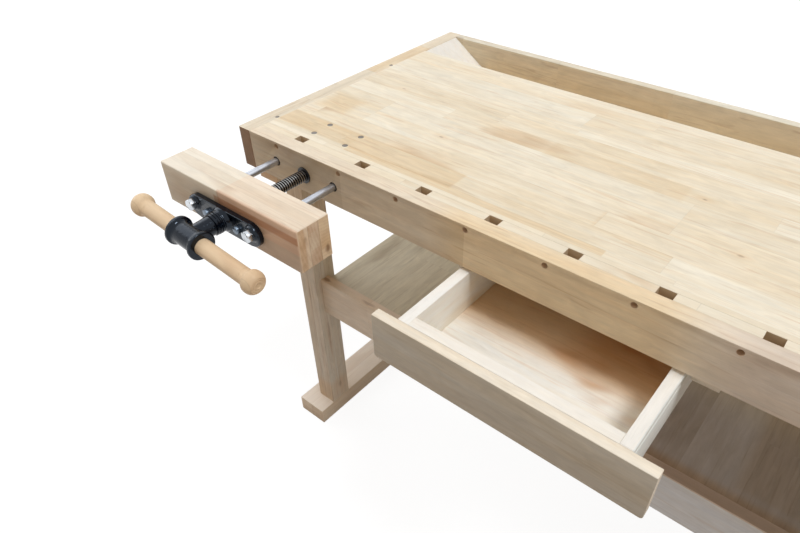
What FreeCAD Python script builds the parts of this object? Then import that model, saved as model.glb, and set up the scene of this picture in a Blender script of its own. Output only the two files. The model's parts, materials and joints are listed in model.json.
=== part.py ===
import FreeCAD, Part
import math
import os

# Cabinet maker's workbench, millimetres.
# Working frame: X runs left to right from the left end of the top, Y runs back from the
# front face of the apron, Z is up from the floor.  At the end everything is moved so that
# the origin is the middle of the whole bench's footprint, at floor level.

# ---------------------------------------------------------------- driving dimensions
TOP_LENGTH = 1430.0
TOP_DEPTH = 673.0
BENCH_HEIGHT = 860.0

SLAB_THICKNESS = 26.0
SLAB_BACK = 530.0             # the tool tray starts here
APRON_HEIGHT = 80.0
APRON_FACE_THICKNESS = 30.0   # board in front of the dog holes
DOG_HOLE_DEPTH = 17.0         # front to back
DOG_HOLE_WIDTH = 24.0         # along the bench
APRON_BACK_THICKNESS = 11.0
FIRST_DOG_HOLE = 136.5        # centre of the hole between the vise's rods
SECOND_DOG_HOLE = 290.0
DOG_HOLE_PITCH = 137.0
DOG_HOLE_COUNT = 9
PEG_HOLE_DIAMETER = 10.0
PEG_HOLE_DEPTH = 18.0
PEG_HOLE_BELOW_TOP = 9.0
PEG_HOLE_XS = (107.0, 267.0, 398.5, 538.5, 677.5, 812.5, 949.5, 1087.0, 1224.0)

END_CAP_THICKNESS = 33.0
END_TONGUE_LENGTH = 20.0
END_TONGUE_THICKNESS = 8.0
END_SCREW_X = 28.0
END_SCREW_YS = (73.0, 412.0)
END_SCREW_LENGTH = 34.0

BACK_RAIL_THICKNESS = 21.0
TRAY_DEPTH = 60.0
TRAY_FLOOR_THICKNESS = 9.0
TRAY_FLOOR_HOUSING = 6.0      # how far the tray floor enters its grooves
TRAY_FRONT_RAIL_WIDTH = 18.0
RAMP_REACH = 88.0
RAMP_BELOW_TOP = 1.0

FOOT_WIDTH = 85.0
FOOT_HEIGHT = 47.0
FOOT_SETBACK = 17.0
LEG_X = 33.0                  # outer face of the leg, from the end of the top
LEG_WIDTH = 52.0
LEG_DEPTH = 60.0
LEG_SETBACK = 60.0
BEARER_BOTTOM = 760.0
BEARER_FRONT = 6.0            # the bearer's nose reaches under the apron
TENON_LENGTH = 30.0
TENON_MARGIN_X = 12.0
TENON_MARGIN_Y = 10.0

STRETCHER_SETBACK = 76.0
STRETCHER_THICKNESS = 24.0
STRETCHER_BOTTOM = 371.0
STRETCHER_HEIGHT = 100.0
SHELF_TOP = 459.0
SHELF_THICKNESS = 12.0
SHELF_HOUSING = 8.0

WOOD_SCREW_HEAD = 8.0
WOOD_SCREW_HEAD_HEIGHT = 2.5
WOOD_SCREW_SHANK = 4.0
WOOD_SCREW_SUNK = 0.5         # the head lies this much below the face
BOLT_DIAMETER = 10.0
BOLT_HEAD_DIAMETER = 22.0
BOLT_HEAD_THICKNESS = 4.0
BOLT_LENGTH = 105.0
BARREL_DIAMETER = 16.0
BARREL_LENGTH = 20.0
BARREL_INSET = 40.0           # from the stretcher's end
LAG_DIAMETER = 8.0
LAG_LENGTH = 60.0
LAG_HEAD_DIAMETER = 14.0
LAG_HEAD_THICKNESS = 5.0
LAG_BITE = 18.0               # how far a lag screw enters the slab
BEARER_LAG_YS = (136.0, 440.0)
RAIL_LAG_YS = (130.0, 410.0)

DRAWER_LEFT = 494.0
DRAWER_RIGHT = 938.0
DRAWER_TOP = 774.0
DRAWER_BOTTOM = 686.5
DRAWER_PULLED = 210.0         # how far the drawer stands out of its closed place
DRAWER_CLOSED_BACK_OF_FRONT = 58.0
DRAWER_FRONT_THICKNESS = 17.0
DRAWER_WALL = 19.0
DRAWER_LENGTH = 400.0
DRAWER_SIDE_INSET = 37.5      # front board past the outside of the drawer's side
DRAWER_SIDE_BOTTOM = 690.0
DRAWER_BOTTOM_THICKNESS = 6.0
DRAWER_BOTTOM_RAISE = 2.0     # the plywood sits this much above the sides' lower edge
DRAWER_BOTTOM_HOUSING = 6.0
FRONT_SCREW_FROM_SIDE = 50.0
FRONT_SCREW_HEIGHTS = (715.0, 754.0)
FRONT_SCREW_LENGTH = 28.0
RUNNER_GROOVE_Z = 757.0
RUNNER_GROOVE_HEIGHT = 8.0
RUNNER_GROOVE_DEPTH = 8.0
RUNNER_PLAY = 0.5
RAIL_WIDTH = 41.0
RAIL_BOTTOM = 717.0
RAIL_LENGTH = 420.0

ROD_HEIGHT = 819.0
SCREW_DROP = 3.0              # the screw's axis lies this much below the rods' axes
PLATE_DROP = 5.5              # and the middle of the cast plate this much
FRONT_VISE_X = 176.0
TAIL_VISE_Y = 176.0
JAW_LENGTH = 352.0
JAW_THICKNESS = 68.0
FRONT_VISE_OPEN = 105.0
TAIL_VISE_OPEN = 40.0
ROD_SPACING = 150.0
ROD_DIAMETER = 14.0
ROD_BEHIND_CLOSED_FACE = 305.0
ROD_BORE_DIAMETER = 18.0
SCREW_DIAMETER = 22.0
SCREW_ROOT_DIAMETER = 18.0
SCREW_NECK_DIAMETER = 19.0
SCREW_PITCH = 5.0
THREAD_START = 14.0           # from the back of the jaw, into its bore
JAW_BORE_DIAMETER = 25.0
PLATE_LENGTH = 184.0
PLATE_HEIGHT = 44.0
PLATE_THICKNESS = 10.0
ROD_BOSS_DIAMETER = 26.0
ROD_BOSS_HEIGHT = 4.0
SCREW_BOSS_DIAMETER = 42.0
SCREW_BOSS_HEIGHT = 10.0
THRUST_FACE_DIAMETER = 38.0   # smaller step of the screw's boss
ROD_BOLT_HEX = 19.0
ROD_BOLT_HEAD = 9.0
ROD_BOLT_SHANK = 9.0
ROD_BOLT_LENGTH = 32.0
LAG_BOLT_SPACING = 80.0
LAG_BOLT_HEX = 13.0
LAG_BOLT_HEAD = 7.0
LAG_BOLT_SHANK = 8.0
LAG_BOLT_LENGTH = 55.0
COLLAR_DIAMETER = 39.0
COLLAR_THICKNESS = 13.0
RETAINER_DIAMETER = 34.0
RETAINER_THICKNESS = 6.0
HUB_DISTANCE = 76.0           # bar's axis in front of the jaw's front face
HUB_LENGTH = 64.0
HUB_OFFSET = 2.0              # middle of the cross tube from the screw's axis, along the bar
HUB_DIAMETER = 40.0
HUB_RIM_DIAMETER = 50.0
HUB_RIM_WIDTH = 6.0
HUB_FLARE_WIDTH = 5.0
HUB_RIM_CHAMFER = 2.0
HUB_THROAT_DIAMETER = 32.0
HUB_NECK_DIAMETER = 34.0
BAR_DIAMETER = 29.0
BAR_LENGTH = 275.0            # between the origins of the two knobs' outlines
KNOB_INNER_REACH = 17.0       # the knob's inner end, towards the hub
KNOB_OUTLINE = ((-17.0, 14.3), (-9.0, 14.5), (-7.5, 15.4), (-6.0, 17.0), (-4.0, 18.9), (-1.0, 19.8),
                (2.0, 20.0), (6.0, 19.8), (9.5, 18.9), (12.5, 17.2), (15.0, 14.6))
KNOB_END_RINGS = ((15.6, 13.6), (15.0, 12.6), (15.6, 11.6), (15.9, 5.0), (15.0, 3.8), (14.6, 0.0))
KNOB_TENON_DIAMETER = 16.0
KNOB_TENON_LENGTH = 22.0
FRONT_BAR_TILT = 5.0          # degrees, right end lower
FRONT_BAR_SHIFT = 14.5        # middle of the bar from the screw's axis
TAIL_BAR_SHIFT = 8.0
TAIL_BAR_TILT = 6.0
NUT_BLOCK_LENGTH = 178.0
NUT_BLOCK_WIDTH = 65.0
NUT_PLATE_THICKNESS = 8.0
NUT_BOSS_DIAMETER = 34.0
GUIDE_BOSS_DIAMETER = 24.0
NUT_BOLT_SPACING_X = 81.0
NUT_BOLT_SPACING_Y = 42.0
NUT_BOLT_DIAMETER = 8.0
NUT_BOLT_HEAD_DIAMETER = 11.0
NUT_BOLT_HEAD_THICKNESS = 4.0
HEX_NUT_SIZE = 13.0
HEX_NUT_THICKNESS = 6.0
BUSH_DIAMETER = 26.0
BUSH_FLANGE_DIAMETER = 31.0
BUSH_FLANGE_THICKNESS = 2.0

FIT = 0.2                     # radial room between pieces that are bolted together
RUNNING = 0.3                 # radial room between pieces that move on each other
BAR_PLAY = 0.35               # radial room of the tommy bar in its hub
PRESS_GAP = 0.1               # on the diameter, for pieces that are pressed or pinned together
EDGE = 1.5                    # broken edges of the wooden pieces

# ---------------------------------------------------------------- derived places
APRON_THICKNESS = APRON_FACE_THICKNESS + DOG_HOLE_DEPTH + APRON_BACK_THICKNESS
APRON_BOTTOM = BENCH_HEIGHT - APRON_HEIGHT
SLAB_BOTTOM = BENCH_HEIGHT - SLAB_THICKNESS
TRAY_BACK = TOP_DEPTH - BACK_RAIL_THICKNESS
TRAY_FLOOR_TOP = BENCH_HEIGHT - TRAY_DEPTH
TRAY_FLOOR_BOTTOM = TRAY_FLOOR_TOP - TRAY_FLOOR_THICKNESS
LEG_BACK = LEG_SETBACK + LEG_DEPTH
LEG_INNER = LEG_X + LEG_WIDTH
MID_X = TOP_LENGTH / 2
MID_Y = TOP_DEPTH / 2
DRAWER_BACK_OF_FRONT = DRAWER_CLOSED_BACK_OF_FRONT - DRAWER_PULLED
DRAWER_SIDE_OUT_LEFT = DRAWER_LEFT + DRAWER_SIDE_INSET
DRAWER_SIDE_OUT_RIGHT = DRAWER_RIGHT - DRAWER_SIDE_INSET
DRAWER_END = DRAWER_BACK_OF_FRONT + DRAWER_LENGTH
PLYWOOD_BOTTOM = DRAWER_SIDE_BOTTOM + DRAWER_BOTTOM_RAISE

X_AXIS = FreeCAD.Vector(1, 0, 0)
Y_AXIS = FreeCAD.Vector(0, 1, 0)
Z_AXIS = FreeCAD.Vector(0, 0, 1)

nodes = {}


# ---------------------------------------------------------------- small tools
def board(x0, x1, y0, y1, z0, z1):
    """A plain block between the given limits."""
    return Part.makeBox(x1 - x0, y1 - y0, z1 - z0, FreeCAD.Vector(x0, y0, z0))


def eased(shape, directions="xyz", size=EDGE):
    """Break the long outer edges of a block with a small chamfer."""
    wanted = []
    box = shape.BoundBox
    sides = {"x": (box.YMin, box.YMax, box.ZMin, box.ZMax),
             "y": (box.XMin, box.XMax, box.ZMin, box.ZMax),
             "z": (box.XMin, box.XMax, box.YMin, box.YMax)}
    for edge in shape.Edges:
        run = edge.BoundBox
        for letter in directions:
            spans = {"x": (run.YMin, run.YMax, run.ZMin, run.ZMax),
                     "y": (run.XMin, run.XMax, run.ZMin, run.ZMax),
                     "z": (run.XMin, run.XMax, run.YMin, run.YMax)}[letter]
            low_a, high_a, low_b, high_b = sides[letter]
            thin = spans[1] - spans[0] < 1e-3 and spans[3] - spans[2] < 1e-3
            on_a = min(abs(spans[0] - low_a), abs(spans[0] - high_a)) < 1e-3
            on_b = min(abs(spans[2] - low_b), abs(spans[2] - high_b)) < 1e-3
            if thin and on_a and on_b:
                wanted.append(edge)
    return shape.makeChamfer(size, wanted)


def round_bar(start, direction, length, diameter):
    """A cylinder from a start point along a direction."""
    return Part.makeCylinder(diameter / 2, length, FreeCAD.Vector(*start), direction)


def hexagon(centre, direction, across_flats, height):
    """A hexagonal prism, such as a bolt head or nut."""
    radius = across_flats / math.sqrt(3)
    points = []
    for corner in range(7):
        angle = math.radians(60 * corner)
        points.append(FreeCAD.Vector(radius * math.cos(angle), radius * math.sin(angle), 0))
    prism = Part.Face(Part.makePolygon(points)).extrude(FreeCAD.Vector(0, 0, height))
    prism.Placement = FreeCAD.Placement(FreeCAD.Vector(*centre), FreeCAD.Rotation(Z_AXIS, direction))
    return prism


def wood_screw(face, into, length):
    """A wood screw driven in from a point on a face, and the cutter that makes room for it."""
    start = FreeCAD.Vector(*face)
    head_start = start + into * WOOD_SCREW_SUNK
    head = round_bar(head_start, into, WOOD_SCREW_HEAD_HEIGHT, WOOD_SCREW_HEAD)
    shank = round_bar(head_start, into, length, WOOD_SCREW_SHANK)
    seat = round_bar(start - into, into, 1 + WOOD_SCREW_SUNK + WOOD_SCREW_HEAD_HEIGHT,
                     WOOD_SCREW_HEAD + 2 * FIT)
    bore = round_bar(start, into, length + 1, WOOD_SCREW_SHANK + 2 * FIT)
    return head.fuse(shank), seat.fuse(bore)


def turned(profile):
    """Revolve (along, radius) points about the X axis through the origin."""
    points = [FreeCAD.Vector(along, radius, 0) for along, radius in profile]
    points.append(points[0])
    face = Part.Face(Part.makePolygon(points))
    return face.revolve(FreeCAD.Vector(0, 0, 0), X_AXIS, 360)


def mirrored_x(shape):
    """The same piece at the other end of the bench."""
    return shape.mirror(FreeCAD.Vector(MID_X, 0, 0), X_AXIS)


def mirrored_y(shape):
    """The same piece at the back of the trestles."""
    return shape.mirror(FreeCAD.Vector(0, MID_Y, 0), Y_AXIS)


def save(name, *solids):
    """Keep a piece, or a group of identical loose pieces, under its node name."""
    nodes[name] = solids[0] if len(solids) == 1 else Part.makeCompound(list(solids))


# ---------------------------------------------------------------- bench top
def dog_hole_centres():
    """Centres of the square holes along the bench."""
    rest = [SECOND_DOG_HOLE + DOG_HOLE_PITCH * k for k in range(DOG_HOLE_COUNT - 1)]
    return [FIRST_DOG_HOLE] + rest


def vise_bores(thickness_from, thickness_to):
    """Cutters through the front apron for the front vise's rods and screw."""
    length = thickness_to - thickness_from + 2
    cutters = []
    for side in (-1, 1):
        start = (FRONT_VISE_X + side * ROD_SPACING / 2, thickness_from - 1, ROD_HEIGHT)
        cutters.append(round_bar(start, Y_AXIS, length, ROD_BORE_DIAMETER))
    start = (FRONT_VISE_X, thickness_from - 1, ROD_HEIGHT - SCREW_DROP)
    cutters.append(round_bar(start, Y_AXIS, length, BUSH_DIAMETER + 2 * FIT))
    return cutters


def make_apron():
    """Face board, the blocks between the dog holes, and the back board."""
    left = END_CAP_THICKNESS
    right = TOP_LENGTH - END_CAP_THICKNESS
    hole_front = APRON_FACE_THICKNESS
    hole_back = hole_front + DOG_HOLE_DEPTH
    face = board(left, right, 0, hole_front, APRON_BOTTOM, BENCH_HEIGHT)
    for x in PEG_HOLE_XS:
        start = (x, -1, BENCH_HEIGHT - PEG_HOLE_BELOW_TOP)
        face = face.cut(round_bar(start, Y_AXIS, PEG_HOLE_DEPTH + 1, PEG_HOLE_DIAMETER))
    save("apron_face", face.cut(vise_bores(0, hole_front)))

    edges = [left]
    for centre in dog_hole_centres():
        edges += [centre - DOG_HOLE_WIDTH / 2, centre + DOG_HOLE_WIDTH / 2]
    edges.append(right)
    blocks = []
    for start, end in zip(edges[0::2], edges[1::2]):
        block = board(start, end, hole_front, hole_back, APRON_BOTTOM, BENCH_HEIGHT)
        blocks.append(block.cut(vise_bores(hole_front, hole_back)))
    save("dog_hole_blocks", *blocks)

    back = board(left, right, hole_back, APRON_THICKNESS, APRON_BOTTOM, BENCH_HEIGHT)
    save("apron_back", back.cut(vise_bores(hole_back, APRON_THICKNESS)))


def nut_block_front(vise):
    """Distance of a vise's nut block behind its fixed face."""
    return {"front": APRON_THICKNESS + 1, "tail": LEG_INNER + 2}[vise]


def nut_bolt_places(vise):
    """Where the four bolts of a nut block stand, in the vise's own frame."""
    first = nut_block_front(vise) + (NUT_BLOCK_WIDTH - NUT_BOLT_SPACING_Y) / 2
    places = []
    for x in (-NUT_BOLT_SPACING_X / 2, NUT_BOLT_SPACING_X / 2):
        for y in (first, first + NUT_BOLT_SPACING_Y):
            places.append((x, y))
    return places


def make_slab():
    """The laminated main slab, with tongues at both ends and its bolt holes."""
    slab = board(END_CAP_THICKNESS, TOP_LENGTH - END_CAP_THICKNESS, APRON_THICKNESS, SLAB_BACK,
                 SLAB_BOTTOM, BENCH_HEIGHT)
    middle = (SLAB_BOTTOM + BENCH_HEIGHT) / 2
    tongue = board(END_CAP_THICKNESS - END_TONGUE_LENGTH, END_CAP_THICKNESS, APRON_THICKNESS, SLAB_BACK,
                   middle - END_TONGUE_THICKNESS / 2, middle + END_TONGUE_THICKNESS / 2)
    slab = slab.fuse([tongue, mirrored_x(tongue)])
    cutters = []
    for vise in ("front", "tail"):
        for x, y in nut_bolt_places(vise):
            shank = round_bar((x, y, SLAB_BOTTOM - 1 - ROD_HEIGHT), Z_AXIS, SLAB_THICKNESS + 2,
                              NUT_BOLT_DIAMETER + 2 * FIT)
            seat = round_bar((x, y, BENCH_HEIGHT - NUT_BOLT_HEAD_THICKNESS - ROD_HEIGHT), Z_AXIS,
                             NUT_BOLT_HEAD_THICKNESS + 1, NUT_BOLT_HEAD_DIAMETER + 2 * FIT)
            cutters += [vise_placed(shank, vise), vise_placed(seat, vise)]
    for x, y, _ in lag_places():
        cutters.append(round_bar((x, y, SLAB_BOTTOM - 1), Z_AXIS, LAG_BITE + 1, LAG_DIAMETER + 2 * FIT))
    cutters += end_screws()[1]
    save("top_slab", slab.cut(cutters))


def end_screws():
    """The screws that pin the slab's tongues in the end caps, and the room cut for them."""
    screws = []
    cutters = []
    for y in END_SCREW_YS:
        screw, cutter = wood_screw((END_SCREW_X, y, BENCH_HEIGHT), -Z_AXIS, END_SCREW_LENGTH)
        screws += [screw, mirrored_x(screw)]
        cutters += [cutter, mirrored_x(cutter)]
    return screws, cutters


def make_end_caps():
    """Full-depth end caps that carry the slab's tongues and the tray floor."""
    cap = eased(board(0, END_CAP_THICKNESS, 0, TOP_DEPTH, APRON_BOTTOM, BENCH_HEIGHT), "z")
    middle = (SLAB_BOTTOM + BENCH_HEIGHT) / 2
    groove = board(END_CAP_THICKNESS - END_TONGUE_LENGTH, END_CAP_THICKNESS + 1, APRON_THICKNESS, SLAB_BACK,
                   middle - END_TONGUE_THICKNESS / 2, middle + END_TONGUE_THICKNESS / 2)
    housing = board(END_CAP_THICKNESS - TRAY_FLOOR_HOUSING, END_CAP_THICKNESS + 1,
                    SLAB_BACK - TRAY_FRONT_RAIL_WIDTH, TRAY_BACK + TRAY_FLOOR_HOUSING,
                    TRAY_FLOOR_BOTTOM, TRAY_FLOOR_TOP)
    cap = cap.cut([groove, housing])
    right = mirrored_x(cap)
    screws, cutters = end_screws()
    save("end_cap_screws", *screws)
    save("left_end_cap", cap.cut(cutters))
    for x in (-ROD_SPACING / 2, ROD_SPACING / 2):
        cutters.append(vise_placed(round_bar((x, -1, 0), Y_AXIS, END_CAP_THICKNESS + 2, ROD_BORE_DIAMETER),
                                   "tail"))
    cutters.append(vise_placed(round_bar((0, -1, -SCREW_DROP), Y_AXIS, END_CAP_THICKNESS + 2,
                                         BUSH_DIAMETER + 2 * FIT), "tail"))
    save("right_end_cap", right.cut(cutters))


def make_tray():
    """Floor, front rail, back rail and the two sweeping ramps of the tool tray."""
    left = END_CAP_THICKNESS
    right = TOP_LENGTH - END_CAP_THICKNESS
    front = SLAB_BACK - TRAY_FRONT_RAIL_WIDTH
    save("tray_floor", board(left - TRAY_FLOOR_HOUSING, right + TRAY_FLOOR_HOUSING, front,
                             TRAY_BACK + TRAY_FLOOR_HOUSING, TRAY_FLOOR_BOTTOM, TRAY_FLOOR_TOP))
    save("tray_front_rail", board(left, right, front, SLAB_BACK, TRAY_FLOOR_TOP, SLAB_BOTTOM))
    rail = board(left, right, TRAY_BACK, TOP_DEPTH, APRON_BOTTOM, BENCH_HEIGHT)
    groove = board(left - 1, right + 1, TRAY_BACK - 1, TRAY_BACK + TRAY_FLOOR_HOUSING,
                   TRAY_FLOOR_BOTTOM, TRAY_FLOOR_TOP)
    save("back_rail", rail.cut(groove))

    top = BENCH_HEIGHT - RAMP_BELOW_TOP
    corners = [(left, TRAY_FLOOR_TOP), (left, top), (left + RAMP_REACH, TRAY_FLOOR_TOP)]
    corners.append(corners[0])
    outline = Part.makePolygon([FreeCAD.Vector(x, SLAB_BACK, z) for x, z in corners])
    ramp = Part.Face(outline).extrude(FreeCAD.Vector(0, TRAY_BACK - SLAB_BACK, 0))
    save("left_tray_ramp", ramp)
    save("right_tray_ramp", mirrored_x(ramp))


# ---------------------------------------------------------------- trestles and shelf
def make_trestles():
    """Two trestles: a long foot, two legs tenoned into it and a bearer under the top."""
    leg_back_y = TOP_DEPTH - LEG_SETBACK
    mortise = board(LEG_X + TENON_MARGIN_X, LEG_INNER - TENON_MARGIN_X,
                    LEG_SETBACK + TENON_MARGIN_Y, LEG_BACK - TENON_MARGIN_Y,
                    FOOT_HEIGHT - TENON_LENGTH, FOOT_HEIGHT)
    top_mortise = mortise.translated(FreeCAD.Vector(0, 0, BEARER_BOTTOM - FOOT_HEIGHT + TENON_LENGTH))
    leg = board(LEG_X, LEG_INNER, LEG_SETBACK, LEG_BACK, FOOT_HEIGHT, BEARER_BOTTOM)
    leg = eased(leg, "z").fuse([mortise, top_mortise])
    leg = leg.cut(stretcher_bore())
    save("left_front_leg", leg)
    save("right_front_leg", mirrored_x(leg))
    save("left_rear_leg", mirrored_y(leg))
    save("right_rear_leg", mirrored_x(mirrored_y(leg)))

    foot = eased(board(0, FOOT_WIDTH, FOOT_SETBACK, TOP_DEPTH - FOOT_SETBACK, 0, FOOT_HEIGHT), "xz")
    foot = foot.cut([mortise, mirrored_y(mortise)])
    save("left_foot", foot)
    save("right_foot", mirrored_x(foot))

    bearer = board(LEG_X, LEG_INNER, BEARER_FRONT, leg_back_y, BEARER_BOTTOM, SLAB_BOTTOM)
    apron_notch = board(LEG_X - 1, LEG_INNER + 1, BEARER_FRONT - 1, APRON_THICKNESS, APRON_BOTTOM,
                        SLAB_BOTTOM + 1)
    tray_notch = board(LEG_X - 1, LEG_INNER + 1, SLAB_BACK - TRAY_FRONT_RAIL_WIDTH, leg_back_y + 1,
                       TRAY_FLOOR_BOTTOM, SLAB_BOTTOM + 1)
    bearer = bearer.cut([apron_notch, tray_notch, top_mortise, mirrored_y(top_mortise)])
    lag_holes = [lag_cutter(place) for place in lag_places()]
    save("left_bearer", bearer.cut(lag_holes))
    right = mirrored_x(bearer).cut(lag_holes)
    depth = LEG_INNER + 2
    for x in (-ROD_SPACING / 2, ROD_SPACING / 2):
        right = right.cut(vise_placed(round_bar((x, 0, 0), Y_AXIS, depth, ROD_BORE_DIAMETER), "tail"))
    screw_way = round_bar((0, 0, -SCREW_DROP), Y_AXIS, depth, SCREW_DIAMETER + 6)
    right = right.cut(vise_placed(screw_way, "tail"))
    save("right_bearer", right)


def stretcher_bore():
    """Bore for the bolt that runs through the left front leg into its stretcher."""
    y = STRETCHER_SETBACK + STRETCHER_THICKNESS / 2
    z = STRETCHER_BOTTOM + STRETCHER_HEIGHT / 2
    return round_bar((LEG_X - 1, y, z), X_AXIS, BOLT_LENGTH + 8, BOLT_DIAMETER + 2 * FIT)


def make_stretchers():
    """Front and rear stretchers with the shelf housed between them."""
    front = STRETCHER_SETBACK
    back = front + STRETCHER_THICKNESS
    top = STRETCHER_BOTTOM + STRETCHER_HEIGHT
    right = TOP_LENGTH - LEG_INNER
    rail = eased(board(LEG_INNER, right, front, back, STRETCHER_BOTTOM, top), "x")
    rail = rail.cut(board(LEG_INNER - 1, right + 1, back - SHELF_HOUSING, back + 1,
                          SHELF_TOP - SHELF_THICKNESS, SHELF_TOP))
    middle_y = (front + back) / 2
    middle_z = STRETCHER_BOTTOM + STRETCHER_HEIGHT / 2
    barrel_hole = round_bar((LEG_INNER + BARREL_INSET, back - BARREL_LENGTH - 1, middle_z), Y_AXIS,
                            BARREL_LENGTH + 2, BARREL_DIAMETER + 2 * FIT)
    bore = stretcher_bore()
    rail = rail.cut([bore, mirrored_x(bore), barrel_hole, mirrored_x(barrel_hole)])
    save("front_stretcher", rail)
    save("rear_stretcher", mirrored_y(rail))
    save("shelf", board(LEG_INNER, right, back - SHELF_HOUSING, TOP_DEPTH - back + SHELF_HOUSING,
                        SHELF_TOP - SHELF_THICKNESS, SHELF_TOP))

    head = round_bar((LEG_X - BOLT_HEAD_THICKNESS, middle_y, middle_z), X_AXIS, BOLT_HEAD_THICKNESS,
                     BOLT_HEAD_DIAMETER)
    shank = round_bar((LEG_X - 1, middle_y, middle_z), X_AXIS, BOLT_LENGTH, BOLT_DIAMETER)
    barrel = round_bar((LEG_INNER + BARREL_INSET, back - BARREL_LENGTH, middle_z), Y_AXIS,
                       BARREL_LENGTH, BARREL_DIAMETER)
    barrel = barrel.cut(round_bar((LEG_INNER, middle_y, middle_z), X_AXIS, 2 * BARREL_INSET,
                                  BOLT_DIAMETER + 2 * FIT))
    fasteners = []
    for piece in (head.fuse(shank), barrel):
        for ahead in (piece, mirrored_y(piece)):
            fasteners += [ahead, mirrored_x(ahead)]
    save("stretcher_bolts", *fasteners)


def lag_places():
    """X, Y and seat height of each lag screw that holds a piece up to the slab."""
    seat = SLAB_BOTTOM + LAG_BITE - LAG_LENGTH
    places = []
    for x in (LEG_X + LEG_WIDTH / 2, TOP_LENGTH - LEG_X - LEG_WIDTH / 2):
        places += [(x, y, seat) for y in BEARER_LAG_YS]
    for x in rail_middles():
        places += [(x, y, seat) for y in RAIL_LAG_YS]
    return places


def lag_cutter(place):
    """Shank hole and deep counterbore of a lag screw, from below."""
    x, y, seat = place
    shank = round_bar((x, y, seat - 1), Z_AXIS, LAG_LENGTH + 1, LAG_DIAMETER + 2 * FIT)
    deep = round_bar((x, y, RAIL_BOTTOM - 1), Z_AXIS, seat - RAIL_BOTTOM + 1, LAG_HEAD_DIAMETER + 2 * FIT)
    return shank.fuse(deep)


def make_lag_screws():
    """Identical hexagon lag screws that fix the bearers and the drawer rails."""
    screws = []
    for x, y, seat in lag_places():
        head = hexagon((x, y, seat - LAG_HEAD_THICKNESS), Z_AXIS, LAG_HEAD_DIAMETER - 2, LAG_HEAD_THICKNESS)
        shank = round_bar((x, y, seat - 1), Z_AXIS, LAG_LENGTH, LAG_DIAMETER)
        screws.append(head.fuse(shank))
    save("top_fixing_screws", *screws)


# ---------------------------------------------------------------- drawer
def rail_middles():
    """Middle lines of the two drawer rails."""
    reach = RUNNER_PLAY + RAIL_WIDTH / 2
    return [DRAWER_SIDE_OUT_LEFT - reach, DRAWER_SIDE_OUT_RIGHT + reach]


def make_drawer():
    """Overlay front, four box walls and a plywood bottom housed in grooves."""
    back_of_front = DRAWER_BACK_OF_FRONT
    front = board(DRAWER_LEFT, DRAWER_RIGHT, back_of_front - DRAWER_FRONT_THICKNESS, back_of_front,
                  DRAWER_BOTTOM, DRAWER_TOP)
    left_in = DRAWER_SIDE_OUT_LEFT + DRAWER_WALL
    right_in = DRAWER_SIDE_OUT_RIGHT - DRAWER_WALL
    ply = board(left_in - DRAWER_BOTTOM_HOUSING, right_in + DRAWER_BOTTOM_HOUSING,
                back_of_front + DRAWER_WALL - DRAWER_BOTTOM_HOUSING,
                DRAWER_END - DRAWER_WALL + DRAWER_BOTTOM_HOUSING,
                PLYWOOD_BOTTOM, PLYWOOD_BOTTOM + DRAWER_BOTTOM_THICKNESS)
    save("drawer_bottom", ply)

    runner = board(DRAWER_SIDE_OUT_LEFT - 1, DRAWER_SIDE_OUT_LEFT + RUNNER_GROOVE_DEPTH,
                   back_of_front - 1, DRAWER_END + 1, RUNNER_GROOVE_Z, RUNNER_GROOVE_Z + RUNNER_GROOVE_HEIGHT)
    side = board(DRAWER_SIDE_OUT_LEFT, left_in, back_of_front, DRAWER_END, DRAWER_SIDE_BOTTOM, DRAWER_TOP)
    side = side.cut([runner, ply])
    save("drawer_left_side", side)
    middle = (DRAWER_LEFT + DRAWER_RIGHT) / 2
    save("drawer_right_side", side.mirror(FreeCAD.Vector(middle, 0, 0), X_AXIS))

    inner_front = board(left_in, right_in, back_of_front, back_of_front + DRAWER_WALL,
                        DRAWER_SIDE_BOTTOM, DRAWER_TOP)
    screws = []
    holes = []
    for x in (left_in + FRONT_SCREW_FROM_SIDE, right_in - FRONT_SCREW_FROM_SIDE):
        for z in FRONT_SCREW_HEIGHTS:
            face = (x, back_of_front + DRAWER_WALL, z)
            screw, hole = wood_screw(face, -Y_AXIS, FRONT_SCREW_LENGTH)
            screws.append(screw)
            holes.append(hole)
    save("drawer_front", eased(front, "xz", 1.0).cut(holes))
    save("drawer_box_front", inner_front.cut([ply] + holes))
    save("drawer_front_screws", *screws)
    back = board(left_in, right_in, DRAWER_END - DRAWER_WALL, DRAWER_END, DRAWER_SIDE_BOTTOM, DRAWER_TOP)
    save("drawer_back", back.cut(ply))


def make_drawer_rails():
    """Rails under the slab with a tongue that runs in the drawer side's groove."""
    middle = rail_middles()[0]
    inner = middle + RAIL_WIDTH / 2
    front = APRON_THICKNESS + 1
    rail = board(middle - RAIL_WIDTH / 2, inner, front, front + RAIL_LENGTH, RAIL_BOTTOM, SLAB_BOTTOM)
    tongue_tip = DRAWER_SIDE_OUT_LEFT + RUNNER_GROOVE_DEPTH - 2 * RUNNER_PLAY
    tongue = board(inner, tongue_tip, front, front + RAIL_LENGTH, RUNNER_GROOVE_Z + RUNNER_PLAY,
                   RUNNER_GROOVE_Z + RUNNER_GROOVE_HEIGHT - RUNNER_PLAY)
    rail = rail.fuse(tongue).removeSplitter()
    drawer_middle = (DRAWER_LEFT + DRAWER_RIGHT) / 2
    other = rail.mirror(FreeCAD.Vector(drawer_middle, 0, 0), X_AXIS)
    holes = [lag_cutter(place) for place in lag_places()]
    save("drawer_left_rail", rail.cut(holes))
    save("drawer_right_rail", other.cut(holes))


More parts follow.
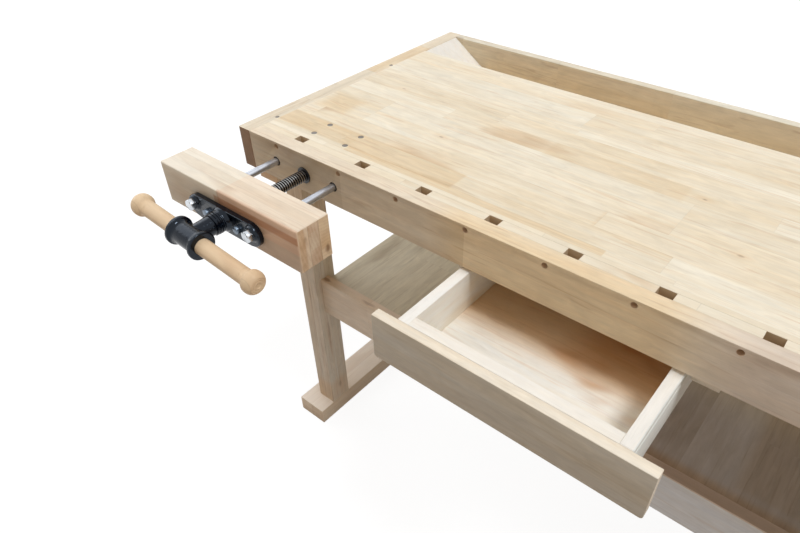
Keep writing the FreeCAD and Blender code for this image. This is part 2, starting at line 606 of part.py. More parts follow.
# ---------------------------------------------------------------- vises
# A vise is built in its own frame: X along the jaw, Y into the bench from the fixed face,
# Z up from the rods' axes.
def vise_placed(shape, vise):
    """Carry a piece from the vise's own frame to its place on the bench."""
    if vise == "front":
        place = FreeCAD.Placement(FreeCAD.Vector(FRONT_VISE_X, 0, ROD_HEIGHT), FreeCAD.Rotation())
    else:
        place = FreeCAD.Placement(FreeCAD.Vector(TOP_LENGTH, TAIL_VISE_Y, ROD_HEIGHT),
                                  FreeCAD.Rotation(Z_AXIS, 90))
    return shape.transformed(place.toMatrix())


def save_vise(vise, name, *solids):
    """Keep a piece of one of the two vises."""
    save(vise + "_" + name, *[vise_placed(solid, vise) for solid in solids])


def make_jaw(vise, back):
    """Wooden jaw with bores for the rods, the screw and the bush's flange."""
    front = back - JAW_THICKNESS
    low = APRON_BOTTOM - ROD_HEIGHT
    high = BENCH_HEIGHT - ROD_HEIGHT
    jaw = eased(board(-JAW_LENGTH / 2, JAW_LENGTH / 2, front, back, low, high), "xyz")
    axis = -SCREW_DROP
    cutters = [round_bar((0, front - 1, axis), Y_AXIS, JAW_THICKNESS + 2, JAW_BORE_DIAMETER),
               round_bar((0, front - 1, axis), Y_AXIS, RETAINER_THICKNESS + 3, RETAINER_DIAMETER + 4),
               round_bar((0, back - BUSH_FLANGE_THICKNESS - 1, axis), Y_AXIS, BUSH_FLANGE_THICKNESS + 2,
                         BUSH_FLANGE_DIAMETER + 4)]
    for side in (-1, 1):
        cutters.append(round_bar((side * ROD_SPACING / 2, front - 1, 0), Y_AXIS, JAW_THICKNESS + 2,
                                 ROD_DIAMETER + 2 * FIT))
        cutters.append(round_bar((side * LAG_BOLT_SPACING / 2, front - 1, -PLATE_DROP), Y_AXIS,
                                 LAG_BOLT_LENGTH - PLATE_THICKNESS + 2, LAG_BOLT_SHANK + 2 * FIT))
    if vise == "tail":
        hole_x = (APRON_FACE_THICKNESS + DOG_HOLE_DEPTH / 2) - TAIL_VISE_Y
        middle = (front + back) / 2
        cutters.append(board(hole_x - DOG_HOLE_DEPTH / 2, hole_x + DOG_HOLE_DEPTH / 2,
                             middle - DOG_HOLE_WIDTH / 2, middle + DOG_HOLE_WIDTH / 2, low - 1, high + 1))
    save_vise(vise, "jaw", jaw.cut(cutters))


def make_plate(vise, jaw_front):
    """Cast plate with rounded ends, bosses at the rods and a stepped boss at the screw."""
    straight = PLATE_LENGTH - PLATE_HEIGHT
    face = jaw_front - PLATE_THICKNESS
    plate = board(-straight / 2, straight / 2, face, jaw_front,
                  -PLATE_DROP - PLATE_HEIGHT / 2, -PLATE_DROP + PLATE_HEIGHT / 2)
    half_boss = SCREW_BOSS_HEIGHT / 2
    step = round_bar((0, face - SCREW_BOSS_HEIGHT, -SCREW_DROP), Y_AXIS, SCREW_BOSS_HEIGHT + 1,
                     THRUST_FACE_DIAMETER)
    pieces = [step, round_bar((0, face - half_boss, -SCREW_DROP), Y_AXIS, half_boss + 1, SCREW_BOSS_DIAMETER)]
    for side in (-1, 1):
        pieces.append(round_bar((side * straight / 2, face, -PLATE_DROP), Y_AXIS, PLATE_THICKNESS,
                                PLATE_HEIGHT))
        pieces.append(round_bar((side * ROD_SPACING / 2, face - ROD_BOSS_HEIGHT, 0), Y_AXIS,
                                ROD_BOSS_HEIGHT + 1, ROD_BOSS_DIAMETER))
    plate = plate.fuse(pieces).removeSplitter()
    deep = PLATE_THICKNESS + SCREW_BOSS_HEIGHT + 2
    bores = [round_bar((0, jaw_front + 1 - deep, -SCREW_DROP), Y_AXIS, deep,
                       SCREW_NECK_DIAMETER + 2 * RUNNING)]
    for side in (-1, 1):
        bores.append(round_bar((side * ROD_SPACING / 2, jaw_front + 1 - deep, 0), Y_AXIS, deep,
                               ROD_BOLT_SHANK + 2 * FIT))
        bores.append(round_bar((side * LAG_BOLT_SPACING / 2, jaw_front + 1 - deep, -PLATE_DROP), Y_AXIS,
                               deep, LAG_BOLT_SHANK + 2 * FIT))
    save_vise(vise, "jaw_plate", plate.cut(bores))


def hex_bolt(x, z, head_back, hex_size, head, shank, length):
    """A bolt that enters along +Y, with its head in front of head_back."""
    screw_head = hexagon((x, head_back - head, z), Y_AXIS, hex_size, head)
    bevel = Part.makeCone(hex_size / 2, hex_size / 2 + head, head,
                          FreeCAD.Vector(x, head_back - head, z), Y_AXIS)
    return screw_head.common(bevel).fuse(round_bar((x, head_back - 1, z), Y_AXIS, length + 1, shank))


def make_rods_and_bolts(vise, jaw_front, rod_end):
    """Bright guide rods, the bolts in their ends and the lag bolts of the plate."""
    rods = []
    rod_bolts = []
    lag_bolts = []
    for side in (-1, 1):
        x = side * ROD_SPACING / 2
        rod = round_bar((x, jaw_front, 0), Y_AXIS, rod_end - jaw_front, ROD_DIAMETER)
        rods.append(rod.cut(round_bar((x, jaw_front - 1, 0), Y_AXIS, ROD_BOLT_LENGTH - PLATE_THICKNESS,
                                      ROD_BOLT_SHANK + 2 * FIT)))
        rod_bolts.append(hex_bolt(x, 0, jaw_front - PLATE_THICKNESS - ROD_BOSS_HEIGHT, ROD_BOLT_HEX,
                                  ROD_BOLT_HEAD, ROD_BOLT_SHANK, ROD_BOLT_LENGTH))
        lag_bolts.append(hex_bolt(side * LAG_BOLT_SPACING / 2, -PLATE_DROP, jaw_front - PLATE_THICKNESS,
                                  LAG_BOLT_HEX, LAG_BOLT_HEAD, LAG_BOLT_SHANK, LAG_BOLT_LENGTH))
    save_vise(vise, "guide_rods", *rods)
    save_vise(vise, "rod_bolts", *rod_bolts)
    save_vise(vise, "jaw_bolts", *lag_bolts)


def make_screw(vise, jaw_front, screw_end):
    """Spindle with a smooth neck through the jaw and ridged thread behind it."""
    hub_y = jaw_front - HUB_DISTANCE
    start = hub_y + BAR_DIAMETER / 2 + 2
    thread = jaw_front + JAW_THICKNESS - THREAD_START
    root = SCREW_ROOT_DIAMETER / 2
    crest = SCREW_DIAMETER / 2
    neck = SCREW_NECK_DIAMETER / 2
    profile = [(start, 0), (start, neck), (thread, neck), (thread, root)]
    ridges = int((screw_end - thread) // SCREW_PITCH)
    for ridge in range(ridges):
        y = thread + ridge * SCREW_PITCH
        profile += [(y + 0.25 * SCREW_PITCH, root), (y + 0.45 * SCREW_PITCH, crest),
                    (y + 0.75 * SCREW_PITCH, crest), (y + 0.95 * SCREW_PITCH, root)]
    profile += [(screw_end, root), (screw_end, 0)]
    spindle = turned(profile)
    spindle.rotate(FreeCAD.Vector(0, 0, 0), Z_AXIS, 90)
    save_vise(vise, "screw", spindle.translated(FreeCAD.Vector(0, 0, -SCREW_DROP)))


def make_collars(vise, jaw_front):
    """Thrust collar in front of the plate and retaining ring behind it."""
    face = jaw_front - PLATE_THICKNESS - SCREW_BOSS_HEIGHT - RUNNING
    axis = -SCREW_DROP
    collar = round_bar((0, face - COLLAR_THICKNESS, axis), Y_AXIS, COLLAR_THICKNESS, COLLAR_DIAMETER)
    collar = collar.makeChamfer(1.5, collar.Edges)
    ring = round_bar((0, jaw_front + RUNNING, axis), Y_AXIS, RETAINER_THICKNESS, RETAINER_DIAMETER)
    bore = round_bar((0, face - COLLAR_THICKNESS - 1, axis), Y_AXIS, JAW_THICKNESS,
                     SCREW_NECK_DIAMETER + PRESS_GAP)
    save_vise(vise, "screw_collars", collar.cut(bore), ring.cut(bore))
    return face - COLLAR_THICKNESS


def bar_placed(shape, hub_y, tilt):
    """Carry a piece turned about X to the bar's axis, tilted about the screw's axis."""
    place = FreeCAD.Placement(FreeCAD.Vector(0, hub_y, -SCREW_DROP), FreeCAD.Rotation(Y_AXIS, tilt))
    return shape.transformed(place.toMatrix())


def make_hub(vise, jaw_front, neck_back, tilt):
    """T-shaped hub: conical neck on the screw and a flared cross tube for the bar."""
    hub_y = jaw_front - HUB_DISTANCE
    half = HUB_LENGTH / 2
    rim = HUB_RIM_DIAMETER / 2
    body = HUB_DIAMETER / 2
    end = [(half - HUB_RIM_WIDTH - HUB_FLARE_WIDTH, body), (half - HUB_RIM_WIDTH, rim),
           (half - HUB_RIM_CHAMFER, rim), (half, rim - HUB_RIM_CHAMFER), (half, 0)]
    outline = [(HUB_OFFSET - along, radius) for along, radius in reversed(end)]
    outline += [(HUB_OFFSET + along, radius) for along, radius in end]
    tube = bar_placed(turned(outline), hub_y, tilt)
    neck = Part.makeCone(HUB_THROAT_DIAMETER / 2, HUB_NECK_DIAMETER / 2, neck_back - hub_y,
                         FreeCAD.Vector(0, hub_y, -SCREW_DROP), Y_AXIS)
    bar_bore = round_bar((HUB_OFFSET - half - 1, 0, 0), X_AXIS, HUB_LENGTH + 2, BAR_DIAMETER + 2 * BAR_PLAY)
    bar_bore = bar_placed(bar_bore, hub_y, tilt)
    socket = round_bar((0, hub_y, -SCREW_DROP), Y_AXIS, HUB_DISTANCE, SCREW_NECK_DIAMETER + PRESS_GAP)
    save_vise(vise, "hub", tube.fuse(neck).cut([bar_bore, socket]))


def make_bar(vise, jaw_front, shift, tilt):
    """Beech tommy bar with a tenoned knob on each end."""
    hub_y = jaw_front - HUB_DISTANCE
    reach = BAR_LENGTH / 2 - KNOB_INNER_REACH
    tenon = KNOB_TENON_LENGTH
    small = KNOB_TENON_DIAMETER / 2
    large = BAR_DIAMETER / 2
    bar = turned([(shift - reach - tenon, 0), (shift - reach - tenon, small), (shift - reach, small),
                  (shift - reach, large), (shift + reach, large), (shift + reach, small),
                  (shift + reach + tenon, small), (shift + reach + tenon, 0)])
    save_vise(vise, "bar", bar_placed(bar, hub_y, tilt))
    knob = turned(((-KNOB_INNER_REACH, 0.0),) + KNOB_OUTLINE + KNOB_END_RINGS)
    socket = round_bar((-KNOB_INNER_REACH - 1, 0, 0), X_AXIS, tenon + 1.5, KNOB_TENON_DIAMETER + PRESS_GAP)
    knob = knob.cut(socket)
    right = knob.translated(FreeCAD.Vector(shift + BAR_LENGTH / 2, 0, 0))
    left = knob.rotated(FreeCAD.Vector(0, 0, 0), Z_AXIS, 180)
    left = left.translated(FreeCAD.Vector(shift - BAR_LENGTH / 2, 0, 0))
    save_vise(vise, "bar_knobs", bar_placed(left, hub_y, tilt), bar_placed(right, hub_y, tilt))


def make_nut_block(vise):
    """Cast block under the slab that carries the nut's thread and guides the rods."""
    front = nut_block_front(vise)
    slab = SLAB_BOTTOM - ROD_HEIGHT
    block = board(-NUT_BLOCK_LENGTH / 2, NUT_BLOCK_LENGTH / 2, front, front + NUT_BLOCK_WIDTH,
                  slab - NUT_PLATE_THICKNESS, slab)
    bosses = [round_bar((0, front, -SCREW_DROP), Y_AXIS, NUT_BLOCK_WIDTH, NUT_BOSS_DIAMETER)]
    bores = [round_bar((0, front - 1, -SCREW_DROP), Y_AXIS, NUT_BLOCK_WIDTH + 2,
                       SCREW_DIAMETER + 2 * RUNNING)]
    for side in (-1, 1):
        x = side * ROD_SPACING / 2
        bosses.append(round_bar((x, front, 0), Y_AXIS, NUT_BLOCK_WIDTH, GUIDE_BOSS_DIAMETER))
        bores.append(round_bar((x, front - 1, 0), Y_AXIS, NUT_BLOCK_WIDTH + 2, ROD_DIAMETER + 2 * RUNNING))
    block = block.fuse(bosses)
    above = board(-JAW_LENGTH, JAW_LENGTH, front - 1, front + NUT_BLOCK_WIDTH + 1,
                  slab, slab + SLAB_THICKNESS)
    block = block.cut(above)
    bolts = []
    for x, y in nut_bolt_places(vise):
        bores.append(round_bar((x, y, slab - NUT_PLATE_THICKNESS - 1), Z_AXIS, NUT_PLATE_THICKNESS + 2,
                               NUT_BOLT_DIAMETER + 2 * FIT))
        top = BENCH_HEIGHT - ROD_HEIGHT
        under = slab - NUT_PLATE_THICKNESS - HEX_NUT_THICKNESS
        shank = round_bar((x, y, under - 3), Z_AXIS, top - under, NUT_BOLT_DIAMETER)
        head = round_bar((x, y, top - NUT_BOLT_HEAD_THICKNESS), Z_AXIS, NUT_BOLT_HEAD_THICKNESS - 0.5,
                         NUT_BOLT_HEAD_DIAMETER)
        nut = hexagon((x, y, under), Z_AXIS, HEX_NUT_SIZE, HEX_NUT_THICKNESS)
        hole = round_bar((x, y, under - 1), Z_AXIS, HEX_NUT_THICKNESS + 2, NUT_BOLT_DIAMETER + PRESS_GAP)
        bolts += [shank.fuse(head), nut.cut(hole)]
    save_vise(vise, "nut_block", block.cut(bores))
    save_vise(vise, "nut_block_bolts", *bolts)


def make_bush(vise):
    """Black bush that lines the screw's hole, with a flange on the fixed face."""
    depth = {"front": APRON_THICKNESS, "tail": END_CAP_THICKNESS}[vise] - 1
    axis = -SCREW_DROP
    flange = round_bar((0, -BUSH_FLANGE_THICKNESS, axis), Y_AXIS, BUSH_FLANGE_THICKNESS, BUSH_FLANGE_DIAMETER)
    tube = round_bar((0, -1, axis), Y_AXIS, depth + 1, BUSH_DIAMETER)
    bore = round_bar((0, -BUSH_FLANGE_THICKNESS - 1, axis), Y_AXIS, depth + BUSH_FLANGE_THICKNESS + 2,
                     SCREW_DIAMETER + 2 * RUNNING)
    save_vise(vise, "screw_bush", flange.fuse(tube).cut(bore))


def make_vise(vise, opening, tilt, shift):
    """All pieces of one vise, open by the given gap."""
    jaw_back = -opening
    jaw_front = jaw_back - JAW_THICKNESS
    inner_end = ROD_BEHIND_CLOSED_FACE - opening
    make_jaw(vise, jaw_back)
    make_plate(vise, jaw_front)
    make_rods_and_bolts(vise, jaw_front, inner_end)
    make_screw(vise, jaw_front, inner_end)
    neck_back = make_collars(vise, jaw_front)
    make_hub(vise, jaw_front, neck_back, tilt)
    make_bar(vise, jaw_front, shift, tilt)
    make_nut_block(vise)
    make_bush(vise)


# ---------------------------------------------------------------- assembly
make_slab()
make_apron()
make_end_caps()
make_tray()
make_trestles()
make_stretchers()
make_drawer()
make_drawer_rails()
make_lag_screws()
make_vise("front", FRONT_VISE_OPEN, FRONT_BAR_TILT, FRONT_BAR_SHIFT)
make_vise("tail", TAIL_VISE_OPEN, TAIL_BAR_TILT, TAIL_BAR_SHIFT)

whole = Part.makeCompound(list(nodes.values())).BoundBox
shift_to_origin = FreeCAD.Vector(-(whole.XMin + whole.XMax) / 2, -(whole.YMin + whole.YMax) / 2, 0)
print("move to origin", shift_to_origin, "size", whole.XLength, whole.YLength, whole.ZLength)

os.makedirs("parts", exist_ok=True)
for name, shape in nodes.items():
    if not shape.isValid():
        print("invalid solid", name)
    shape.translated(shift_to_origin).exportStep("parts/" + name + ".step")
print(len(nodes), "nodes written")
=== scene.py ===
import json
import math
from functools import partial
import bpy
from mathutils import Matrix, Vector


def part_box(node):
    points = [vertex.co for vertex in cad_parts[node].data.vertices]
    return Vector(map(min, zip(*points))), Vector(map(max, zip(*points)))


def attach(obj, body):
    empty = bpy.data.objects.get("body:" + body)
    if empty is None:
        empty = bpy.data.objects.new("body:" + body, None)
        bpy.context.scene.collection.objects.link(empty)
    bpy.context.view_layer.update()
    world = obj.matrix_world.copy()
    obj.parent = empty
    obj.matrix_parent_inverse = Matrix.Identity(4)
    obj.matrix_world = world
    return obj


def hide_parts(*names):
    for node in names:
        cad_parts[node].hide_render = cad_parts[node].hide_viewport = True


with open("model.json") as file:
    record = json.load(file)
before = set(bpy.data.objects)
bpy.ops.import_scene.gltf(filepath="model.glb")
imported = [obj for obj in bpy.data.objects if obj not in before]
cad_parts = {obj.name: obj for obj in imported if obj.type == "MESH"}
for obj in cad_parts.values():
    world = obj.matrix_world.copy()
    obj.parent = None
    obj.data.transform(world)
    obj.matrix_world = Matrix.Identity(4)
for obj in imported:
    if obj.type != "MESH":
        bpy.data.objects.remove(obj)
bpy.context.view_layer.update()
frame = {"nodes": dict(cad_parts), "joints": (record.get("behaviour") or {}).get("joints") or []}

# ------------------------------------------------------------------ places, in metres
MM = 0.001
BENCH_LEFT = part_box("left_foot")[0].x
APRON_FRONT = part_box("apron_face")[0].y
X_AXIS = Vector((1, 0, 0))
Y_AXIS = Vector((0, 1, 0))
Z_AXIS = Vector((0, 0, 1))


def at(x, y, z):
    """A point given in millimetres from the top's left end, the apron's face and the floor."""
    return Vector((BENCH_LEFT + x * MM, APRON_FRONT + y * MM, z * MM))


# ------------------------------------------------------------------ working with pieces
def clear_selection():
    if bpy.context.mode != "OBJECT":
        bpy.ops.object.mode_set(mode="OBJECT")
    bpy.ops.object.select_all(action="DESELECT")


def only(piece):
    clear_selection()
    piece.select_set(True)
    bpy.context.view_layer.objects.active = piece


def named(piece, name):
    piece.name = name
    piece.data.name = name
    return piece


def settle(piece, name):
    """Name a piece and put its place into its mesh."""
    only(piece)
    bpy.ops.object.transform_apply(location=True, rotation=True, scale=True)
    return named(piece, name)


def moved(piece, matrix):
    """Carry a settled piece by a matrix."""
    piece.data.transform(matrix)
    return piece


def copied(piece, name, matrix):
    """A second piece with a mesh of its own, carried by a matrix."""
    only(piece)
    bpy.ops.object.duplicate(linked=False)
    return moved(named(bpy.context.view_layer.objects.active, name), matrix)


def joined(pieces, name):
    """Several pieces as one mesh."""
    clear_selection()
    for piece in pieces:
        piece.select_set(True)
    bpy.context.view_layer.objects.active = pieces[0]
    bpy.ops.object.join()
    return named(bpy.context.view_layer.objects.active, name)


def modified(piece, kind, **settings):
    """Add a modifier with these settings and apply it."""
    only(piece)
    modifier = piece.modifiers.new(kind.lower(), kind)
    for key, value in settings.items():
        setattr(modifier, key, value)
    bpy.ops.object.modifier_apply(modifier=modifier.name)
    return piece


def softened(piece, width, segments=2, angle=30):
    """Break the sharp edges of a piece."""
    return modified(piece, "BEVEL", width=width, segments=segments, limit_method="ANGLE",
                    angle_limit=math.radians(angle), harden_normals=False)


def smoothed(piece, angle=30):
    only(piece)
    bpy.ops.object.shade_smooth_by_angle(angle=math.radians(angle))
    return piece


def edit(piece, action, kind=None):
    """Enter edit mode with everything or nothing selected."""
    only(piece)
    bpy.ops.object.mode_set(mode="EDIT")
    if kind:
        bpy.ops.mesh.select_mode(type=kind)
    bpy.ops.mesh.select_all(action=action)


def leave_edit():
    bpy.ops.object.mode_set(mode="OBJECT")


def facing_outwards(piece):
    edit(piece, "SELECT")
    bpy.ops.mesh.remove_doubles(threshold=1e-6)
    bpy.ops.mesh.normals_make_consistent(inside=False)
    leave_edit()
    return piece


def primitive(add, name, **settings):
    """A new piece from one of the add operators."""
    clear_selection()
    add(**settings)
    return settle(bpy.context.object, name)


def block(name, low, high):
    """A block between two corners."""
    clear_selection()
    bpy.ops.mesh.primitive_cube_add(size=1, location=(low + high) / 2)
    piece = bpy.context.object
    piece.scale = high - low
    return settle(piece, name)


def select_faces(piece, wanted):
    """Enter edit mode with the faces selected for which wanted(centre, normal) is true."""
    edit(piece, "DESELECT", "FACE")
    leave_edit()
    for polygon in piece.data.polygons:
        polygon.select = bool(wanted(polygon.center, polygon.normal))
    bpy.ops.object.mode_set(mode="EDIT")


def select_edges(piece, wanted):
    """Enter edit mode with the edges selected for which wanted(start, end) is true."""
    edit(piece, "DESELECT", "EDGE")
    leave_edit()
    points = piece.data.vertices
    for edge in piece.data.edges:
        edge.select = bool(wanted(points[edge.vertices[0]].co, points[edge.vertices[1]].co))
    bpy.ops.object.mode_set(mode="EDIT")


def copy_of_node(node, name):
    """A merged copy of a CAD node, ready for its edges to be broken."""
    clear_selection()
    mesh = frame["nodes"][node].data.copy()
    piece = named(bpy.data.objects.new(name, mesh), name)
    bpy.context.scene.collection.objects.link(piece)
    mesh.materials.clear()
    edit(piece, "SELECT")
    bpy.ops.mesh.remove_doubles(threshold=2e-6)
    bpy.ops.mesh.dissolve_limited(angle_limit=math.radians(1))
    leave_edit()
    return piece


def pointing(direction):
    """The turn that carries +Z to a direction."""
    return Z_AXIS.rotation_difference(direction.normalized()).to_matrix().to_4x4()


def turned(name, profile, sides=48):
    """A lathe-turned piece along +Z: a disc that is extruded and scaled from ring to ring.

    profile holds (along, radius) pairs in millimetres, from one closed end to the other."""
    along, radius = profile[0]
    piece = primitive(bpy.ops.mesh.primitive_circle_add, name, vertices=sides, radius=radius * MM,
                      fill_type="NGON", location=(0, 0, along * MM))
    edit(piece, "SELECT", "FACE")
    for next_along, next_radius in profile[1:]:
        bpy.ops.mesh.extrude_region_move(
            TRANSFORM_OT_translate={"value": (0, 0, (next_along - along) * MM)})
        growth = next_radius / radius
        bpy.ops.transform.resize(value=(growth, growth, 1), center_override=(0, 0, next_along * MM))
        along, radius = next_along, next_radius
    leave_edit()
    return facing_outwards(piece)


def cut_with(piece, cutter, operation="DIFFERENCE"):
    modified(piece, "BOOLEAN", operation=operation, solver="EXACT", object=cutter)
    bpy.data.objects.remove(cutter)
    return piece


def bored(piece, start, direction, length, radius, sides=40):
    """Cut a round hole with a cylinder, all in metres."""
    cutter = primitive(bpy.ops.mesh.primitive_cylinder_add, "cutter", vertices=sides, radius=radius,
                       depth=length)
    half = Matrix.Translation((0, 0, length / 2))
    return cut_with(piece, moved(cutter, Matrix.Translation(start) @ pointing(direction) @ half))


def recoat(piece, material):
    """Give a piece one material."""
    piece.data.materials.clear()
    piece.data.materials.append(material)


def finish(piece, body, material, node):
    """Give a piece its material, its body and the node that it stands for."""
    recoat(piece, material)
    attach(piece, body)
    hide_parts(node)
    return piece


# ------------------------------------------------------------------ node graphs
def colour(red, green, blue):
    """A colour from 0-255 screen values."""
    def linear(value):
        share = value / 255
        return share / 12.92 if share <= 0.04045 else ((share + 0.055) / 1.055) ** 2.4
    return (linear(red), linear(green), linear(blue), 1.0)


def add_node(tree, kind, inputs=None, **settings):
    """Add a node, set its properties, and set or link its inputs."""
    made = tree.nodes.new(kind)
    for key, value in settings.items():
        setattr(made, key, value)
    for key, value in (inputs or {}).items():
        if isinstance(value, bpy.types.NodeSocket):
            tree.links.new(value, made.inputs[key])
        else:
            made.inputs[key].default_value = value
    return made


def calc(tree, operation, *values, clamp=False):
    """A Math node."""
    return add_node(tree, "ShaderNodeMath", dict(enumerate(values)), operation=operation,
                    use_clamp=clamp).outputs[0]


def arithmetic(tree):
    """Functions for the sum, difference and product of values in a tree."""
    return [partial(calc, tree, operation) for operation in ("ADD", "SUBTRACT", "MULTIPLY")]


def vector_calc(tree, operation, *values):
    return add_node(tree, "ShaderNodeVectorMath", dict(enumerate(values)),
                    operation=operation).outputs[0]


def blend(tree, factor, first, second, mode="MIX"):
    """A colour Mix node."""
    return add_node(tree, "ShaderNodeMix", {0: factor, 6: first, 7: second}, data_type="RGBA",
                    blend_type=mode).outputs[2]


def ramp(tree, value, low, high):
    """0 below low, 1 above high, smooth between."""
    return add_node(tree, "ShaderNodeMapRange", {"Value": value, "From Min": low, "From Max": high},
                    interpolation_type="SMOOTHSTEP").outputs[0]


def noise(tree, vector, scale, detail=3.0, roughness=0.5, distortion=0.0):
    return add_node(tree, "ShaderNodeTexNoise", {
        "Vector": vector, "Scale": scale, "Detail": detail, "Roughness": roughness,
        "Distortion": distortion}).outputs[0]


def scaled(tree, vector, x, y, z):
    return vector_calc(tree, "MULTIPLY", vector, (x, y, z))


def axes(tree, vector):
    """The three numbers of a vector."""
    return add_node(tree, "ShaderNodeSeparateXYZ", {0: vector}).outputs


def joined_axes(tree, x, y, z):
    return add_node(tree, "ShaderNodeCombineXYZ", {0: x, 1: y, 2: z}).outputs[0]


def channels(tree, shade):
    """The three random numbers in a tint."""
    return add_node(tree, "ShaderNodeSeparateColor", {0: shade}).outputs


def grey(tree, value):
    return add_node(tree, "ShaderNodeCombineColor", {0: value, 1: value, 2: value}).outputs[0]


def length_of(tree, vector):
    return add_node(tree, "ShaderNodeVectorMath", {0: vector}, operation="LENGTH").outputs["Value"]


def here(tree):
    """Object coordinates."""
    return add_node(tree, "ShaderNodeTexCoord").outputs["Object"]


def white(tree, x, y, z):
    """A random colour for each set of three whole numbers."""
    where = joined_axes(tree, x, y, z)
    return add_node(tree, "ShaderNodeTexWhiteNoise", {"Vector": where},
                    noise_dimensions="3D").outputs["Color"]


def new_group(name, inputs, outputs):
    """A node group whose sockets are given as {name: kind}."""
    group = bpy.data.node_groups.new(name, "ShaderNodeTree")
    for direction, sockets in (("INPUT", inputs), ("OUTPUT", outputs)):
        for label, kind in sockets.items():
            group.interface.new_socket(label, in_out=direction, socket_type="NodeSocket" + kind)
    new = group.nodes.new
    return group, new("NodeGroupInput").outputs, new("NodeGroupOutput").inputs


def deliver(group, out, **results):
    """Link a group's results to its outputs."""
    for label, value in results.items():
        group.links.new(value, out[label])


def use_group(tree, group, inputs):
    return add_node(tree, "ShaderNodeGroup", inputs, node_tree=group).outputs


BOARD_LOOK = {"Color": "Color", "Roughness": "Float", "Height": "Float"}


def make_stave_group():
    """Glued staves: a random tint per stave, a shifted grain vector and the glue lines."""
    group, given, out = new_group(
        "glued_staves", {"Vector": "Vector", "Width": "Float", "Thickness": "Float", "Length": "Float",
                         "Seed": "Float"}, {"Tint": "Color", "Grain": "Vector", "Seam": "Float"})
    plus, minus, times = arithmetic(group)
    part = axes(group, given["Vector"])
    across = calc(group, "DIVIDE", part[1], given["Width"])
    row = calc(group, "FLOOR", across)
    layer = calc(group, "FLOOR", calc(group, "DIVIDE", part[2], given["Thickness"]))
    shift = times(channels(group, white(group, row, layer, given["Seed"]))[0], 5.0)
    along = plus(calc(group, "DIVIDE", part[0], given["Length"]), shift)
    stave = calc(group, "FLOOR", along)
    cell = plus(times(layer, 17.0), row)
    tint = white(group, stave, cell, plus(given["Seed"], 0.5))
    side_gap = times(calc(group, "PINGPONG", across, 0.5), given["Width"])
    end_gap = times(calc(group, "PINGPONG", along, 0.5), given["Length"])
    near = calc(group, "MINIMUM", side_gap, end_gap)
    spread = scaled(group, tint, 7.0, 3.0, 5.0)
    deliver(group, out, Tint=tint, Grain=vector_calc(group, "ADD", given["Vector"], spread),
            Seam=minus(1.0, ramp(group, near, 0.0002, 0.0011)))
    return group


# Repeats a metre along and across the grain, then detail, roughness and distortion.
TIMBER_TEXTURES = ((11.0, 170.0, 5.0, 0.62), (4.5, 46.0, 4.0, 0.60, 0.6), (5.0, 13.0, 2.0, 0.5, 0.3),
                   (6.0, 105.0, 3.0, 0.55, 1.2), (22.0, 60.0, 3.0, 0.55, 0.8), (40.0, 900.0, 2.0, 0.5))


def make_timber_group():
    """Colour, roughness and relief of planed hardwood with its grain along the first axis."""
    group, given, out = new_group("planed_timber", {
        "Grain": "Vector", "Tint": "Color", "Seam": "Float", "Pale": "Color", "Warm": "Color",
        "Brown": "Color", "Variety": "Float", "Figure": "Float", "Seam Strength": "Float"}, BOARD_LOOK)
    plus, minus, times = arithmetic(group)
    tint = channels(group, given["Tint"])
    fibre, bands, clouds, lines, mottle, pores = (
        noise(group, scaled(group, given["Grain"], along, across, across), 1.0, *texture)
        for along, across, *texture in TIMBER_TEXTURES)
    variety, figure = given["Variety"], given["Figure"]
    own = times(minus(tint[0], 0.45), variety)
    drift = times(minus(bands, 0.5), times(figure, 2.2))
    base = blend(group, plus(plus(own, drift), 0.35, clamp=True), given["Pale"], given["Warm"])
    patch = times(ramp(group, clouds, 0.52, 0.72), ramp(group, tint[1], 0.45, 0.9))
    base = blend(group, times(patch, variety), base, given["Brown"])
    dark_line = times(ramp(group, lines, 0.56, 0.7), times(figure, 0.35))
    base = blend(group, dark_line, base, given["Brown"])
    dot = ramp(group, pores, 0.60, 0.72)
    seam = times(given["Seam"], given["Seam Strength"])
    shade = times(minus(tint[2], 0.5), times(variety, 0.14))
    shade = minus(shade, times(minus(fibre, 0.5), times(figure, 0.30)))
    shade = minus(shade, times(minus(mottle, 0.5), times(figure, 0.34)))
    shade = minus(shade, times(dot, 0.05))
    shade = plus(minus(shade, times(seam, 0.20)), 1.0)
    deliver(group, out, Color=blend(group, 1.0, base, grey(group, shade), "MULTIPLY"),
            Roughness=calc(group, "MULTIPLY_ADD", fibre, 0.22, 0.40),
            Height=minus(minus(times(fibre, 0.5), dot), seam))
    return group


